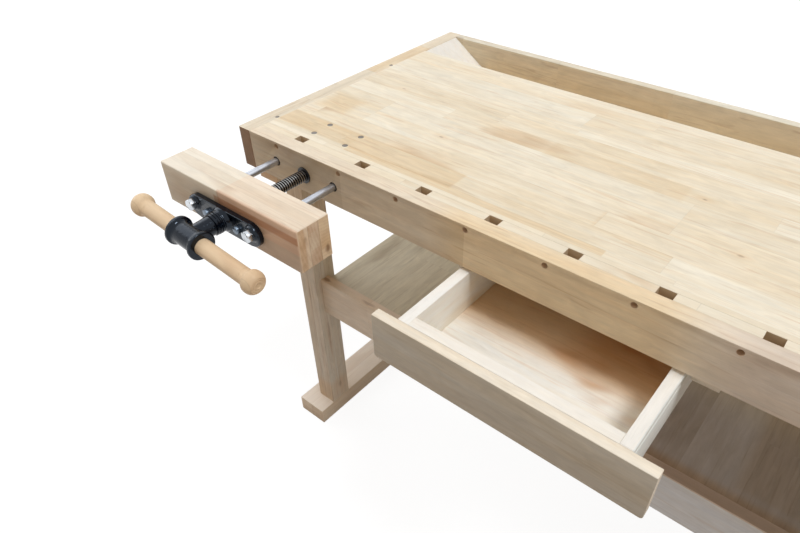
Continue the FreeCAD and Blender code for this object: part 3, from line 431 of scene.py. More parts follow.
def make_end_grain_group():
    """Sawn end of a stave: growth-ring arcs, pores and a deeper tone."""
    group, given, out = new_group("end_grain", {
        "Grain": "Vector", "Tint": "Color", "Seam": "Float", "Fair": "Color",
        "Deep": "Color"}, BOARD_LOOK)
    plus, minus, times = arithmetic(group)
    flat = scaled(group, given["Grain"], 0.0, 1.0, 1.0)
    warp = add_node(group, "ShaderNodeTexNoise", {"Vector": flat, "Scale": 22.0}).outputs["Color"]
    bent = vector_calc(group, "ADD", flat, scaled(group, warp, 0.0, 0.012, 0.012))
    rings = calc(group, "PINGPONG", times(length_of(group, bent), 160.0), 0.5)
    pores = add_node(group, "ShaderNodeTexVoronoi", {"Vector": flat, "Scale": 900.0}).outputs["Distance"]
    blotch = noise(group, flat, 45.0, 3.0, 0.6)
    amount = plus(times(rings, 0.35), times(channels(group, given["Tint"])[0], 0.75))
    amount = plus(amount, times(minus(blotch, 0.5), 1.1))
    base = blend(group, times(amount, 0.8, clamp=True), given["Fair"], given["Deep"])
    dot = minus(1.0, ramp(group, pores, 0.10, 0.32))
    dark = plus(times(dot, 0.16), times(given["Seam"], 0.14))
    tone = grey(group, minus(1.0, dark))
    deliver(group, out, Color=blend(group, 1.0, base, tone, "MULTIPLY"),
            Roughness=calc(group, "MULTIPLY_ADD", blotch, 0.2, 0.5), Height=minus(0.0, dark))
    return group


def make_patch_group():
    """A soft-edged box: 1 inside, 0 well outside."""
    group, given, out = new_group("soft_patch", {
        "Vector": "Vector", "Centre": "Vector", "Reach": "Vector",
        "Softness": "Vector"}, {"Mask": "Float"})
    away = vector_calc(group, "SUBTRACT", given["Vector"], given["Centre"])
    away = vector_calc(group, "SUBTRACT", vector_calc(group, "ABSOLUTE", away), given["Reach"])
    part = axes(group, vector_calc(group, "DIVIDE", away, given["Softness"]))
    outside = calc(group, "MAXIMUM", calc(group, "MAXIMUM", part[0], part[1]), part[2])
    deliver(group, out, Mask=calc(group, "SUBTRACT", 1.0, ramp(group, outside, 0.0, 1.0)))
    return group


def make_knot_group():
    """A knot: a dark heart in an oval of warmer wood, drawn out along the first axis of Stretch."""
    group, given, out = new_group("knot", {
        "Vector": "Vector", "Centre": "Vector",
        "Stretch": "Vector"}, {"Heart": "Float", "Halo": "Float"})
    plus, minus, times = arithmetic(group)
    away = vector_calc(group, "SUBTRACT", given["Vector"], given["Centre"])
    away = vector_calc(group, "MULTIPLY", away, given["Stretch"])
    wave = noise(group, scaled(group, given["Vector"], 60.0, 160.0, 60.0), 1.0, 2.0, 0.5)
    far = plus(length_of(group, away), times(minus(wave, 0.5), 0.8))
    deliver(group, out, Heart=minus(1.0, ramp(group, far, 0.25, 1.0)),
            Halo=minus(1.0, ramp(group, far, 0.8, 4.0)))
    return group


STAVES = make_stave_group()
TIMBER = make_timber_group()
END_GRAIN = make_end_grain_group()
PATCH = make_patch_group()
KNOT = make_knot_group()


def wood_tones(*shades):
    return tuple(colour(*shade) for shade in shades)


PALE_TOP = wood_tones((248, 239, 218), (237, 218, 184), (206, 166, 116))
RAIL_TONES = wood_tones((240, 226, 198), (226, 206, 172), (184, 150, 112))
PALE_DRAWER = wood_tones((253, 251, 244), (247, 236, 216), (230, 208, 172))
PLY_SHEET = wood_tones((252, 249, 240), (246, 231, 204), (216, 172, 124))
FRAME_TONES = wood_tones((240, 226, 202), (230, 208, 176), (190, 152, 112))
LEG_TONES = wood_tones((240, 234, 220), (230, 216, 192), (196, 158, 118))
FOOT_TONES = wood_tones((250, 240, 226), (244, 226, 204), (214, 184, 152))
JAW_TONES = wood_tones((247, 238, 220), (236, 220, 194), (200, 166, 128))
SHELF_TONES = wood_tones((222, 214, 190), (202, 191, 165), (164, 145, 115))
HANDLE_TONES = wood_tones((238, 212, 176), (228, 198, 158), (206, 168, 128))
END_TONES = wood_tones((244, 218, 182), (194, 150, 110))
JAW_ENDS = wood_tones((248, 230, 202), (190, 150, 116))
PALE_ENDS = wood_tones((240, 232, 216), (216, 198, 172))
CAP_END = wood_tones((156, 126, 100), (106, 80, 63))
HOLE_ENDS = wood_tones((206, 184, 152), (150, 124, 96))
FOOT_ENDS = wood_tones((240, 222, 196), (206, 178, 146))

GRAIN_ORDER = {"x": (0, 1, 2), "y": (1, 0, 2), "z": (2, 0, 1)}


def grain_vector(tree, corner, grain):
    """Object coordinates from a corner of the board, with the grain direction first."""
    place = add_node(tree, "ShaderNodeMapping", {
        "Vector": here(tree), "Location": tuple(-c for c in corner)}).outputs[0]
    part = axes(tree, place)
    return joined_axes(tree, *(part[axis] for axis in GRAIN_ORDER[grain]))


def new_material(name):
    """A material with an empty tree, its Principled shader and output."""
    material = bpy.data.materials.new(name)
    material.use_nodes = True
    tree = material.node_tree
    tree.nodes.clear()
    shader = add_node(tree, "ShaderNodeBsdfPrincipled")
    add_node(tree, "ShaderNodeOutputMaterial", {"Surface": shader.outputs[0]})
    return material, tree, shader


def use_relief(tree, shader, height, distance):
    bump = add_node(tree, "ShaderNodeBump", {"Height": height, "Distance": distance, "Strength": 1.0})
    tree.links.new(bump.outputs[0], shader.inputs["Normal"])


def marked(tree, base, patches=(), knots=()):
    """Lay darker or paler patches and knots over a wood colour.

    A patch is (low corner, high corner, softness, tint, strength) and a knot (centre, stretch,
    strength), with places in bench millimetres.  A softness of three numbers goes axis by axis."""
    place = here(tree)
    for low, high, softness, tint, strength in patches:
        fade = Vector(softness if isinstance(softness, tuple) else (softness,) * 3) * MM
        low, high = at(*low), at(*high)
        mask = use_group(tree, PATCH, {"Vector": place, "Centre": (low + high) / 2,
                                       "Reach": (high - low) / 2, "Softness": fade})["Mask"]
        base = blend(tree, calc(tree, "MULTIPLY", mask, strength), base, tint, "MULTIPLY")
    for centre, stretch, strength in knots:
        oval = use_group(tree, KNOT, {"Vector": place, "Centre": at(*centre), "Stretch": stretch})
        halo = calc(tree, "MULTIPLY", oval["Halo"], 0.5 * strength)
        base = blend(tree, halo, base, (0.86, 0.68, 0.48, 1), "MULTIPLY")
        base = blend(tree, calc(tree, "MULTIPLY", oval["Heart"], strength), base, (0.30, 0.16, 0.08, 1))
    return base


def stretched(tree, vector, seams, width):
    """Board coordinates in which uneven seams across the grain fall on whole stave widths."""
    part = axes(tree, vector)
    across = 0.0
    for start, end in zip(seams, seams[1:]):
        piece = add_node(tree, "ShaderNodeMapRange", {
            "Value": part[1], "From Min": start * MM, "From Max": end * MM, "To Max": width}).outputs[0]
        across = calc(tree, "ADD", piece, across)
    return joined_axes(tree, part[0], across, part[2])


def grained(name, corner, grain, stave, seed, group, inputs, relief, gloss, rows=None, patches=(),
            knots=()):
    """A material of glued staves that start from a corner of the board.

    stave is width, thickness and length in metres; rows lists uneven seams across the grain,
    in millimetres from the corner."""
    material, tree, shader = new_material(name)
    place = grain_vector(tree, corner, grain)
    if rows:
        place = stretched(tree, place, rows, stave[0])
    staves = use_group(tree, STAVES, {"Vector": place, "Width": stave[0], "Thickness": stave[1],
                                      "Length": stave[2], "Seed": seed})
    look = use_group(tree, group, inputs | {key: staves[key] for key in ("Grain", "Tint", "Seam")})
    tree.links.new(marked(tree, look["Color"], patches, knots), shader.inputs["Base Color"])
    tree.links.new(look["Roughness"], shader.inputs["Roughness"])
    use_relief(tree, shader, look["Height"], relief)
    shader.inputs["Specular IOR Level"].default_value = gloss
    return material


def wood(name, corner, grain, stave, tones, seed, variety=0.6, figure=0.45, seams=0.5, **marks):
    """Planed wood."""
    return grained(name, corner, grain, stave, seed, TIMBER, {
        "Pale": tones[0], "Warm": tones[1], "Brown": tones[2], "Variety": variety, "Figure": figure,
        "Seam Strength": seams}, 0.00012, 0.35, **marks)


def sawn_end(name, corner, grain, stave, tones, seed, **marks):
    """End grain for the same board."""
    return grained(name, corner, grain, stave, seed, END_GRAIN, {"Fair": tones[0], "Deep": tones[1]},
                   0.00015, 0.25, **marks)


CAST_GRAIN = 190.0     # repeats of the casting's rough skin in a metre


def metal(name, base, roughness, streak=0.15, metallic=1.0, relief=0.0):
    """Metal or enamel with fine variation of its gloss and tone."""
    material, tree, shader = new_material(name)
    place = here(tree)
    grime = noise(tree, place, 60.0, 4.0, 0.6)
    dull = tuple(c * 0.72 for c in base[:3]) + (1.0,)
    tone = blend(tree, ramp(tree, grime, 0.35, 0.75), base, dull)
    tree.links.new(tone, shader.inputs["Base Color"])
    tree.links.new(calc(tree, "MULTIPLY_ADD", grime, streak, roughness - streak / 2),
                   shader.inputs["Roughness"])
    shader.inputs["Metallic"].default_value = metallic
    if relief:
        use_relief(tree, shader, noise(tree, place, CAST_GRAIN, 3.0, 0.6), relief)
    return material


ENAMEL = metal("black_enamel", colour(7, 11, 20), 0.13, streak=0.14, metallic=0.0, relief=0.0004)
ENAMEL_SHADER = ENAMEL.node_tree.nodes["Principled BSDF"].inputs
ENAMEL_SHADER["Specular IOR Level"].default_value = 0.40
ENAMEL_SHADER["Specular Tint"].default_value = (0.72, 0.84, 1.0, 1)
BRIGHT = metal("bright_steel", colour(206, 210, 218), 0.33, streak=0.10)
BOLT = metal("plated_bolt", colour(214, 219, 224), 0.22)
DARK_BOLT = metal("dark_bolt", colour(120, 132, 145), 0.32)
THREAD = metal("oiled_thread", colour(70, 66, 64), 0.30)
CREST = metal("thread_crest", colour(200, 200, 198), 0.24)
BUSH = metal("black_bush", colour(16, 16, 18), 0.38, metallic=0.0)
ZINC = metal("zinc_fastener", colour(140, 135, 127), 0.44, streak=0.2)


def make_bore_material(name, fair, dark):
    """Rough wood inside drilled holes; in the wide ones the dark colour is painted shade."""
    material, tree, shader = new_material(name)
    burr = noise(tree, here(tree), 700.0, 3.0, 0.6)
    tree.links.new(blend(tree, burr, fair, dark), shader.inputs["Base Color"])
    tree.links.new(calc(tree, "MULTIPLY_ADD", burr, 0.2, 0.7), shader.inputs["Roughness"])
    return material


# The wide bores around the rods and screw are coloured near-black: painted shade in the gap around the
# steel.
WIDE_BORE_SHADE = make_bore_material("wide_bore_shade", colour(62, 42, 28), colour(26, 18, 13))
PEG_BORE = make_bore_material("peg_bore", colour(232, 208, 178), colour(200, 168, 136))


# ------------------------------------------------------------------ boards
def overlay(piece, material, wanted):
    """Give a further material to the faces for which wanted(centre, normal) is true."""
    piece.data.materials.append(material)
    for polygon in piece.data.polygons:
        if wanted(polygon.center, polygon.normal):
            polygon.material_index = len(piece.data.materials) - 1


def in_bore(centre, normal, bottom, top):
    """Walls of the round holes through the apron, between two heights."""
    low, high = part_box("apron_face")
    across = low.x + 0.001 < centre.x < high.x - 0.001 and abs(normal.y) < 0.3
    return across and low.y + 0.001 < centre.y < high.y - 0.0005 and bottom * MM < centre.z < top * MM


def dress_board(piece, node, slot, body, grain, stave, tones, seed, ends=END_TONES, end_marks=None,
                **looks):
    """Finish a wooden piece that stands for a node, side grain and end grain."""
    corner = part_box(node)[0]
    axis = GRAIN_ORDER[grain][0]
    planed = wood(piece.name + "_wood", corner, grain, stave, tones, seed, **looks)
    finish(piece, body, planed, node)
    end = sawn_end(piece.name + "_end", corner, grain, stave, ends, seed, **(end_marks or {}))
    overlay(piece, end, lambda centre, normal: abs(normal[axis]) > 0.8)
    return smoothed(piece)


def plain_board(node, name, *look, ease=0.0012, slot="frame_wood", **more):
    """A straight board between the corners of its node, with eased edges."""
    piece = softened(block(name, *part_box(node)), ease, segments=3)
    return dress_board(piece, node, slot, *look, **more)


def worked_board(node, name, *look, ease=0.0008, slot="frame_wood", **more):
    """A board with bores, grooves or notches, taken from its node, with eased edges."""
    return dress_board(softened(copy_of_node(node, name), ease), node, slot, *look, **more)


SLAB_SEAMS = (0, 15, 61, 108, 158, 211, 258, 308, 340, 408, 443, 475)     # from the slab's front edge
DEEPER = (0.90, 0.80, 0.66, 1)
SLAB_PATCHES = (
    ((36, 73, 800), (451, 119, 900), 6, DEEPER, 0.7), ((225, 58, 800), (733, 73, 900), 2, DEEPER, 0.8),
    ((60, 178, 800), (105, 212, 900), 30, DEEPER, 0.8),
    ((520, 270, 800), (760, 314, 900), 12, DEEPER, 0.4),
    ((690, 120, 800), (1030, 164, 900), 8, DEEPER, 0.35))
SLAB_KNOTS = (
    ((794, 294, 860), (160, 330, 160), 0.55), ((887, 180, 860), (140, 300, 140), 0.45),
    ((334, 205, 860), (150, 320, 150), 0.5), ((137, 330, 860), (150, 340, 150), 0.4))
LEG_KNOTS = (((58, 60, 420), (260, 200, 22), 0.35), ((72, 60, 250), (330, 200, 16), 0.35),
             ((85, 92, 96), (200, 160, 60), 0.5), ((85, 80, 300), (200, 240, 14), 0.35))
REDDER = (0.84, 0.68, 0.59, 1)
STREAK = (0.72, 0.52, 0.40, 1)
WARMER = (1.0, 0.94, 0.90, 1)
GREYER = (0.80, 0.76, 0.70, 1)
GOLDEN = (1.0, 0.92, 0.78, 1)
COOLER = (0.88, 0.87, 0.93, 1)
SHELF_SHADE_TINT = (0.79, 0.84, 1.10, 1)
SHADED = (0.91, 0.67, 0.46, 1)
CAP_SHADE = (0.90, 0.86, 0.82, 1)
PALER = (1.05, 1.12, 1.16, 1)
STRETCHER_LIGHT_TINT = (0.94, 1.06, 1.24, 1)
STRETCHER_SHADE_TINT = (0.60, 0.54, 0.52, 1)


def make_top():
    """Slab, apron laminations, end caps, back rail, tray and its ramps."""
    board = partial(worked_board, slot="top_wood")
    board("top_slab", "main_slab", "bench", "x", (0.048, 0.03, 0.62), PALE_TOP, 3.0, ease=0.0005,
          variety=0.5, figure=0.8, seams=0.25, rows=SLAB_SEAMS, patches=SLAB_PATCHES, knots=SLAB_KNOTS)
    apron = board("apron_face", "apron_front_board", "bench", "x", (0.09, 0.04, 9.0), FRAME_TONES, 11.0,
                  ease=0.0009, variety=0.3, figure=0.9,
                  patches=(((0, -5, 770), (270, 0.6, 858.5), 0.5, GREYER, 1.0),
                           ((270, -5, 770), (537, 0.6, 858.5), 0.5, GREYER, 0.6),
                           ((537, -5, 770), (830, 0.6, 858.5), 90, GOLDEN, 1.0),
                           ((985, -5, 770), (1400, 0.6, 858.5), 110, COOLER, 1.0)))
    for material, *heights in ((WIDE_BORE_SHADE, 782, 840), (PEG_BORE, 840, 857.5)):
        overlay(apron, material, lambda centre, normal: in_bore(centre, normal, *heights))
    board("dog_hole_blocks", "dog_hole_strip", "bench", "x", (0.05, 0.1, 0.50), PALE_TOP, 12.0,
          ease=0.0006, variety=0.5, ends=HOLE_ENDS)
    board("apron_back", "apron_rear_board", "bench", "x", (0.05, 0.1, 0.46), PALE_TOP, 13.0,
          ease=0.0004, variety=0.7,
          patches=(((30, 40, 700), (1400, 47.5, 859.3), 0.3, (0.70, 0.58, 0.46, 1), 1.0),))
    for side, seed in (("left", 21.0), ("right", 22.0)):
        board(side + "_end_cap", side + "_cap_board", "bench", "y", (0.05, 0.1, 0.19), PALE_TOP, seed,
              ease=0.0012, variety=0.8, figure=0.8, ends=CAP_END,
              patches=(((-5, -5, 770), (1435, 680, 862), 1, CAP_SHADE, 1.0),))
        board(side + "_tray_ramp", side + "_sweep_ramp", "bench", "x", (0.2, 0.2, 0.5), PALE_DRAWER, 5.0,
              ease=0.0006, ends=PALE_ENDS)
    board("back_rail", "tray_back_rail", "bench", "x", (0.2, 0.2, 0.27), RAIL_TONES, 15.0,
          variety=0.8, figure=1.0,
          patches=(((-5, 600, 859.2), (1435, 700, 862), 0.3, (0.97, 1.03, 1.12, 1), 1.0),))
    plain_board("tray_floor", "tray_floor_sheet", "bench", "x", (0.3, 0.1, 0.6), FRAME_TONES, 16.0,
                ease=0.0004, slot="plywood")
    plain_board("tray_front_rail", "tray_front_strip", "bench", "x", (0.1, 0.1, 0.5), FRAME_TONES, 17.0,
                ease=0.0004)


TENON_SHOULDER = 0.011


def make_base():
    """Feet, legs with their tenons, bearers, stretchers and shelf."""
    foot_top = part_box("left_foot")[1].z
    bearer_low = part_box("left_bearer")[0].z
    for number, (side, place) in enumerate((s, p) for s in ("left", "right") for p in ("front", "rear")):
        node = side + "_" + place + "_leg"
        low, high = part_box(node)
        piece = block(node + "_post", Vector((low.x, low.y, foot_top)),
                      Vector((high.x, high.y, bearer_low)))
        for z, sign, reach in ((bearer_low, 1, high.z - bearer_low), (foot_top, -1, foot_top - low.z)):
            select_faces(piece, lambda centre, normal: normal.z * sign > 0.9)
            bpy.ops.mesh.inset(thickness=TENON_SHOULDER)
            bpy.ops.mesh.extrude_region_move(TRANSFORM_OT_translate={"value": (0, 0, sign * reach)})
            leave_edit()
        softened(piece, 0.0015, segments=3)
        dress_board(piece, node, "frame_wood", "bench", "z", (0.026, 0.03, 0.9), LEG_TONES,
                    31.0 + number, figure=1.0, knots=LEG_KNOTS,
                    patches=(((0, 55, 40), (1430, 60.5, 770), 0.5, (0.81, 0.75, 0.69, 1), 1.0),
                             ((20, 50, 40), (90, 125, 105), 30, (1.0, 0.88, 0.76, 1), 0.8),
                             ((20, 50, 620), (90, 125, 760), 40, (1.0, 0.90, 0.80, 1), 0.8)))
    for number, side in enumerate(("left", "right")):
        plain_board(side + "_foot", side + "_foot_beam", "bench", "y", (0.0425, 0.0235, 0.45),
                    FOOT_TONES, 41.0 + number, ease=0.0015, ends=FOOT_ENDS, variety=0.25,
                    figure=0.4, seams=0.2,
                    patches=(((84.4, -50, -1), (90, 700, 46.3), 0.4, (0.93, 0.87, 0.77, 1), 1.0),))
        worked_board(side + "_bearer", side + "_bearer_beam", "bench", "y", (0.052, 0.037, 0.5),
                     FRAME_TONES, 43.0 + number)
    for number, place in enumerate(("front", "rear")):
        plain_board(place + "_stretcher", place + "_stretcher_rail", "bench", "x", (0.05, 0.2, 0.30),
                    FOOT_TONES, 45.0 + number, ease=0.0012, variety=0.7, figure=0.7,
                    # The two dark knots on the front stretcher's top, right of the left leg, are painted
                    # shadow of the leg and jaw.
                    knots=(((96, 86, 471), (60, 130, 160), 0.7), ((230, 84, 471), (40, 160, 160), 0.4)),
                    patches=(((80, 60, 360), (800, 110, 480), (120, 1, 1), (0.90, 0.86, 0.80, 1), 1.0),
                             # Painted light and shade on the right part of the stretchers: the front
                             # face is tinted paler and bluer as if in strong light, the top strip darker
                             # as if in shade.
                             ((920, 60, 360), (1350, 78, 469), (120, 0.5, 0.5), STRETCHER_LIGHT_TINT, 1.0),
                             ((920, 78, 469.5), (1350, 110, 480), (120, 0.5, 0.5), STRETCHER_SHADE_TINT, 1.0)))
    plain_board("shelf", "shelf_panel", "bench", "y", (0.105, 0.1, 0.9), SHELF_TONES, 47.0, ease=0.0005,
                slot="plywood", figure=0.9, variety=0.9, seams=0.2,
                # Painted shade: the shelf's right part, where the light is blocked, is tinted darker and
                # cooler, and a warm dark band runs along the front stretcher.
                patches=(((880, 0, 400), (1400, 250, 500), 160, SHELF_SHADE_TINT, 1.0),
                         ((800, 60, 400), (1400, 112, 500), 25, (0.92, 0.74, 0.56, 1), 0.9),
                         ((1030, 150, 400), (1180, 420, 500), 30, (0.84, 0.74, 0.62, 1), 0.7)))


def make_drawer():
    """Overlay front with rounded lower corners, box walls, bottom and the rails that carry it."""
    low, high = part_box("drawer_front")
    front = block("drawer_face_board", low, high)
    middle = (low.z + high.z) / 2
    select_edges(front, lambda a, b: abs(a.y - b.y) > 0.01 and a.z < middle)
    bpy.ops.mesh.bevel(offset=0.005, segments=6)
    leave_edit()
    softened(front, 0.0010)
    dress_board(front, "drawer_front", "drawer_wood", "drawer", "x", (0.2, 0.2, 0.62), PALE_DRAWER, 51.0,
                figure=0.9, ends=PALE_ENDS,
                patches=(((400, -175, 600), (1000, -168, 772.6), 0.5, (0.655, 0.61, 0.54, 1), 1.0),
                         ((400, -175, 773.2), (1000, -140, 776), 0.5, (0.97, 0.92, 0.84, 1), 1.0)))
    stave = (0.2, 0.2, 0.7)
    for number, node in enumerate(("drawer_left_side", "drawer_right_side")):
        worked_board(node, node + "_board", "drawer", "y", stave, PALE_DRAWER, 52.0 + number,
                     slot="drawer_wood", ends=PALE_ENDS,
                     patches=(((898.8, -200, 600), (910, 400, 800), 0.3, (0.87, 0.92, 0.96, 1), 1.0),))
    for number, node in enumerate(("drawer_box_front", "drawer_back")):
        worked_board(node, node + "_board", "drawer", "x", stave, PALE_DRAWER, 54.0 + number,
                     slot="drawer_wood", ends=PALE_ENDS)
    plain_board("drawer_bottom", "drawer_bottom_sheet", "drawer", "x", (0.9, 0.1, 2.0), PLY_SHEET, 56.0,
                ease=0.0003, slot="plywood", figure=0.6, variety=0.8, seams=0.0,
                # Painted shadow: the drawer floor's rear part, under the apron and top, is tinted
                # orange-brown, deepest at the right rear.
                patches=(((540, 20, 600), (1000, 300, 800), 70, SHADED, 1.0),
                         ((780, 60, 600), (1000, 300, 800), 90, (0.88, 0.70, 0.54, 1), 1.0)))
    for number, side in enumerate(("left", "right")):
        worked_board("drawer_" + side + "_rail", "drawer_" + side + "_hanger", "bench", "y",
                     (0.05, 0.2, 0.7), PALE_DRAWER, 57.0 + number, ends=PALE_ENDS)


# ------------------------------------------------------------------ vises
# Pieces of a vise are made once, from the middle of the jaw's front face: X along the jaw,
# Y into the bench, Z up.  Then they are copied to both vises.
def vise_place(vise):
    """The matrix from the jaw's front face to its place on the bench."""
    low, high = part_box(vise + "_jaw")
    rod_low, rod_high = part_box(vise + "_guide_rods")
    middle = (low + high) / 2
    height = (rod_low.z + rod_high.z) / 2
    if vise == "front":
        return Matrix.Translation((middle.x, low.y, height))
    return Matrix.Translation((high.x, middle.y, height)) @ Matrix.Rotation(math.pi / 2, 4, "Z")


def bar_tilt(vise):
    """The turn of the hub and bar about the screw, from the joint on which the bar slides."""
    axis = [j["axis"] for j in frame["joints"] if j["name"] == vise + "_bar_slide"][0]
    return math.atan2(-axis[2], math.hypot(axis[0], axis[1]))


def over_rods(node):
    """How far the middle of a node lies above the middle of the rods, in millimetres."""
    low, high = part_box(node)
    rod_low, rod_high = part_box("front_guide_rods")
    return (high.z + low.z - rod_high.z - rod_low.z) / 2 / MM


SCREW_Z = over_rods("front_screw")
PLATE_Z = over_rods("front_jaw_bolts")
ROD_SPREAD = 75.0
LAG_SPREAD = 40.0
HUB_AHEAD = 76.0
HUB_OFFSET = 2.0
HALF_TURN = Matrix.Rotation(math.pi, 4, "X")


def along_y(x, y, z=0.0):
    """Turn a piece made along +Z so that it points along +Y from a place in millimetres."""
    return Matrix.Translation((x * MM, y * MM, z * MM)) @ pointing(Y_AXIS)


def make_jaw(vise):
    """Thick jaw with eased edges, bored for the rods and screw."""
    node = vise + "_jaw"
    front = vise == "front"
    if front:
        areas = (((162, -180, 770), (360, -100, 870)), ((162, -180, 818), (360, -172.4, 858.4)),
                 ((162, -180, 770), (360, -172.4, 812)), ((-5, -180, 770), (162, -172.4, 858.4)),
                 ((150, -180, 836), (350, -172.4, 846)), ((351, -125, 805), (360, -107, 900)),
                 ((351, -148, 812), (360, -130, 843)), ((351, -168, 770), (360, -160, 900)))
        knots = (((352, -114, 798), (190, 130, 90), 0.85), ((352, -158, 838), (190, 220, 120), 0.35))
    else:
        areas = (((1460, 190, 770), (1550, 360, 870)), ((1537.4, 190, 818), (1550, 360, 858.4)),
                 ((1537.4, 190, 770), (1550, 360, 812)), ((1537.4, -5, 770), (1550, 190, 858.4)),
                 ((1537.4, 178, 836), (1550, 346, 846)))
        knots = ()
    looks = ((0.5, WARMER, 1.0), (6, REDDER, 1.0), (6, (0.79, 0.71, 0.65, 1), 1.0), (0.5, GREYER, 0.8),
             (4, STREAK, 0.9), (6, (0.88, 0.80, 0.70, 1), 1.0), (1, PALER, 1.0),
             (5, (0.86, 0.76, 0.66, 1), 1.0))
    patches = tuple(area + look for area, look in zip(areas, looks))
    worked_board(node, vise + "_jaw_block", vise + "_jaw", "x" if front else "y", (0.0227, 0.11, 5.0),
                 JAW_TONES, 61.0 if front else 62.0, ease=0.0018, variety=0.35, figure=0.6,
                 seams=0.25, ends=JAW_ENDS,
                 end_marks={"patches": patches[5:], "knots": knots}, patches=patches[:5])


def make_plate():
    """Cast plate: a rounded bar with bosses, remeshed so that its corners flow together."""
    straight = 70.0
    half = 22.0
    bar = block("plate_bar", Vector((-straight, -10, PLATE_Z - half)) * MM,
                Vector((straight, 0, PLATE_Z + half)) * MM)
    ends = []
    for side in (-1, 1):
        end = turned("plate_end", [(0, half), (8.5, half), (10, half - 1.5)], 64)
        ends.append(moved(end, along_y(side * straight, 0, PLATE_Z) @ HALF_TURN))
        boss = turned("rod_boss", [(0, 14.5), (3, 13), (4, 12)], 48)
        ends.append(moved(boss, along_y(side * ROD_SPREAD, -10) @ HALF_TURN))
    centre = turned("screw_boss", [(0, 23), (4, 21), (5.4, 19), (10, 19)], 64)
    ends.append(moved(centre, along_y(0, -10, SCREW_Z) @ HALF_TURN))
    plate = joined([bar] + ends, "cast_plate")
    modified(plate, "REMESH", mode="VOXEL", voxel_size=0.0009)
    modified(plate, "SMOOTH", factor=0.5, iterations=4)
    plate = bored(plate, Vector((0, -0.03, SCREW_Z * MM)), Y_AXIS, 0.04, 0.0099)
    return smoothed(plate, 60)


def hub_profile():
    """Cross tube with a rounded rim at each end, in (along, radius) pairs."""
    half = 32.0
    rim = [(half - 14, 19.6), (half - 10.5, 20.2), (half - 8, 21.6), (half - 6.6, 24.0),
           (half - 6.2, 25.0), (half - 0.8, 25.0), (half, 24.1)]
    return [(-along, radius) for along, radius in reversed(rim)] + rim


def make_hub():
    """T-shaped casting: flared cross tube and a tapering neck, smoothed where they meet."""
    tube = turned("hub_tube", hub_profile(), 64)
    moved(tube, Matrix.Translation(Vector((HUB_OFFSET, -HUB_AHEAD, SCREW_Z)) * MM) @ pointing(X_AXIS))
    neck = turned("hub_neck", [(0, 16.0), (20, 16.0), (30, 16.4), (40, 17), (42.7, 17)], 64)
    moved(neck, along_y(0, -HUB_AHEAD, SCREW_Z))
    hub = joined([tube, neck], "cast_hub")
    modified(hub, "REMESH", mode="VOXEL", voxel_size=0.0008)
    modified(hub, "SMOOTH", factor=0.5, iterations=4)
    hub = bored(hub, Vector((-0.05, -HUB_AHEAD * MM, SCREW_Z * MM)), X_AXIS, 0.1, 0.01485, 64)
    return smoothed(hub, 50)


def make_collar():
    """Thrust collar of three discs with grooves between them, and the ring behind the plate."""
    discs = turned("thrust_collar", [
        (0, 18.2), (0.6, 19), (3.4, 19), (3.9, 18), (4.7, 18), (5.2, 19.4), (8, 19.4), (8.5, 18),
        (9.3, 18), (9.8, 19.4), (12.4, 19.4), (13, 18.6)], 64)
    moved(discs, along_y(0, -33.3, SCREW_Z))
    ring = turned("retaining_ring", [(0, 16.5), (0.5, 17), (5.5, 17), (6, 16.5)], 64)
    moved(ring, along_y(0, 0.3, SCREW_Z))
    return smoothed(joined([discs, ring], "screw_collars"), 35)


def hex_bolt(name, across, head):
    """Hexagon head along -Y with a chamfered crown."""
    body = primitive(bpy.ops.mesh.primitive_cylinder_add, name, vertices=6, depth=head * MM,
                     radius=across / math.sqrt(3) * MM, location=(0, 0, head * MM / 2))
    crown = turned("crown", [(-1, across), (head * 0.55, across * 0.72), (head, across * 0.5)], 48)
    softened(cut_with(body, crown, "INTERSECT"), 0.0002)
    moved(body, pointing(-Y_AXIS))
    return smoothed(body, 25)


def make_thread():
    """Spindle: a smooth neck and a core with one long helical ridge."""
    length = 432.5 - 0.5
    start = -59.5
    ridge_from = 56.0
    pitch = 5.0
    neck = ridge_from - start
    core = turned("spindle_core", [
        (0, 8.5), (1, 9.5), (neck, 9.5), (neck + 0.5, 9.0), (length - 1.5, 9.0), (length, 7.5)], 48)
    moved(core, along_y(0, start, SCREW_Z))
    turns = int((length + start - ridge_from - 8) / pitch)
    ridge = primitive(bpy.ops.mesh.primitive_plane_add, "ridge", size=1)
    flank = ((8.6, 0.6), (11.0, 1.7), (11.0, 3.1), (8.6, 4.2))
    corners = sorted(ridge.data.vertices, key=lambda corner: math.atan2(corner.co.y, corner.co.x))
    for corner, (radius, along) in zip(corners, flank):
        corner.co = (radius * MM, 0, along * MM)
    edit(ridge, "SELECT")
    bpy.ops.mesh.delete(type="ONLY_FACE")
    leave_edit()
    modified(ridge, "SCREW", angle=2 * math.pi, screw_offset=pitch * MM, iterations=turns, steps=28,
             render_steps=28, use_normal_calculate=True, use_merge_vertices=False)
    moved(ridge, along_y(0, ridge_from, SCREW_Z))
    edit(ridge, "DESELECT", "EDGE")
    bpy.ops.mesh.select_non_manifold()
    bpy.ops.mesh.edge_face_add()
    leave_edit()
    facing_outwards(ridge)
    return smoothed(joined([core, ridge], "threaded_spindle"), 35)


def brighten_crests(spindle, vise):
    """Give the crests of a thread their own bright steel."""
    low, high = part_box(vise + "_screw")
    middle = (low + high) / 2
    across = 0 if vise == "front" else 1
    overlay(spindle, CREST, lambda centre, normal: math.hypot(
        (centre - middle)[across], (centre - middle).z) > 10.6 * MM)


def make_bar():
    """Tommy bar: a straight turned rod."""
    reach = 120.5
    bar = turned("tommy_bar", [
        (-reach - 22, 8), (-reach, 8), (-reach + 0.3, 14.2), (reach - 0.3, 14.2), (reach, 8),
        (reach + 22, 8)], 64)
    moved(bar, pointing(X_AXIS))
    return smoothed(bar, 40)


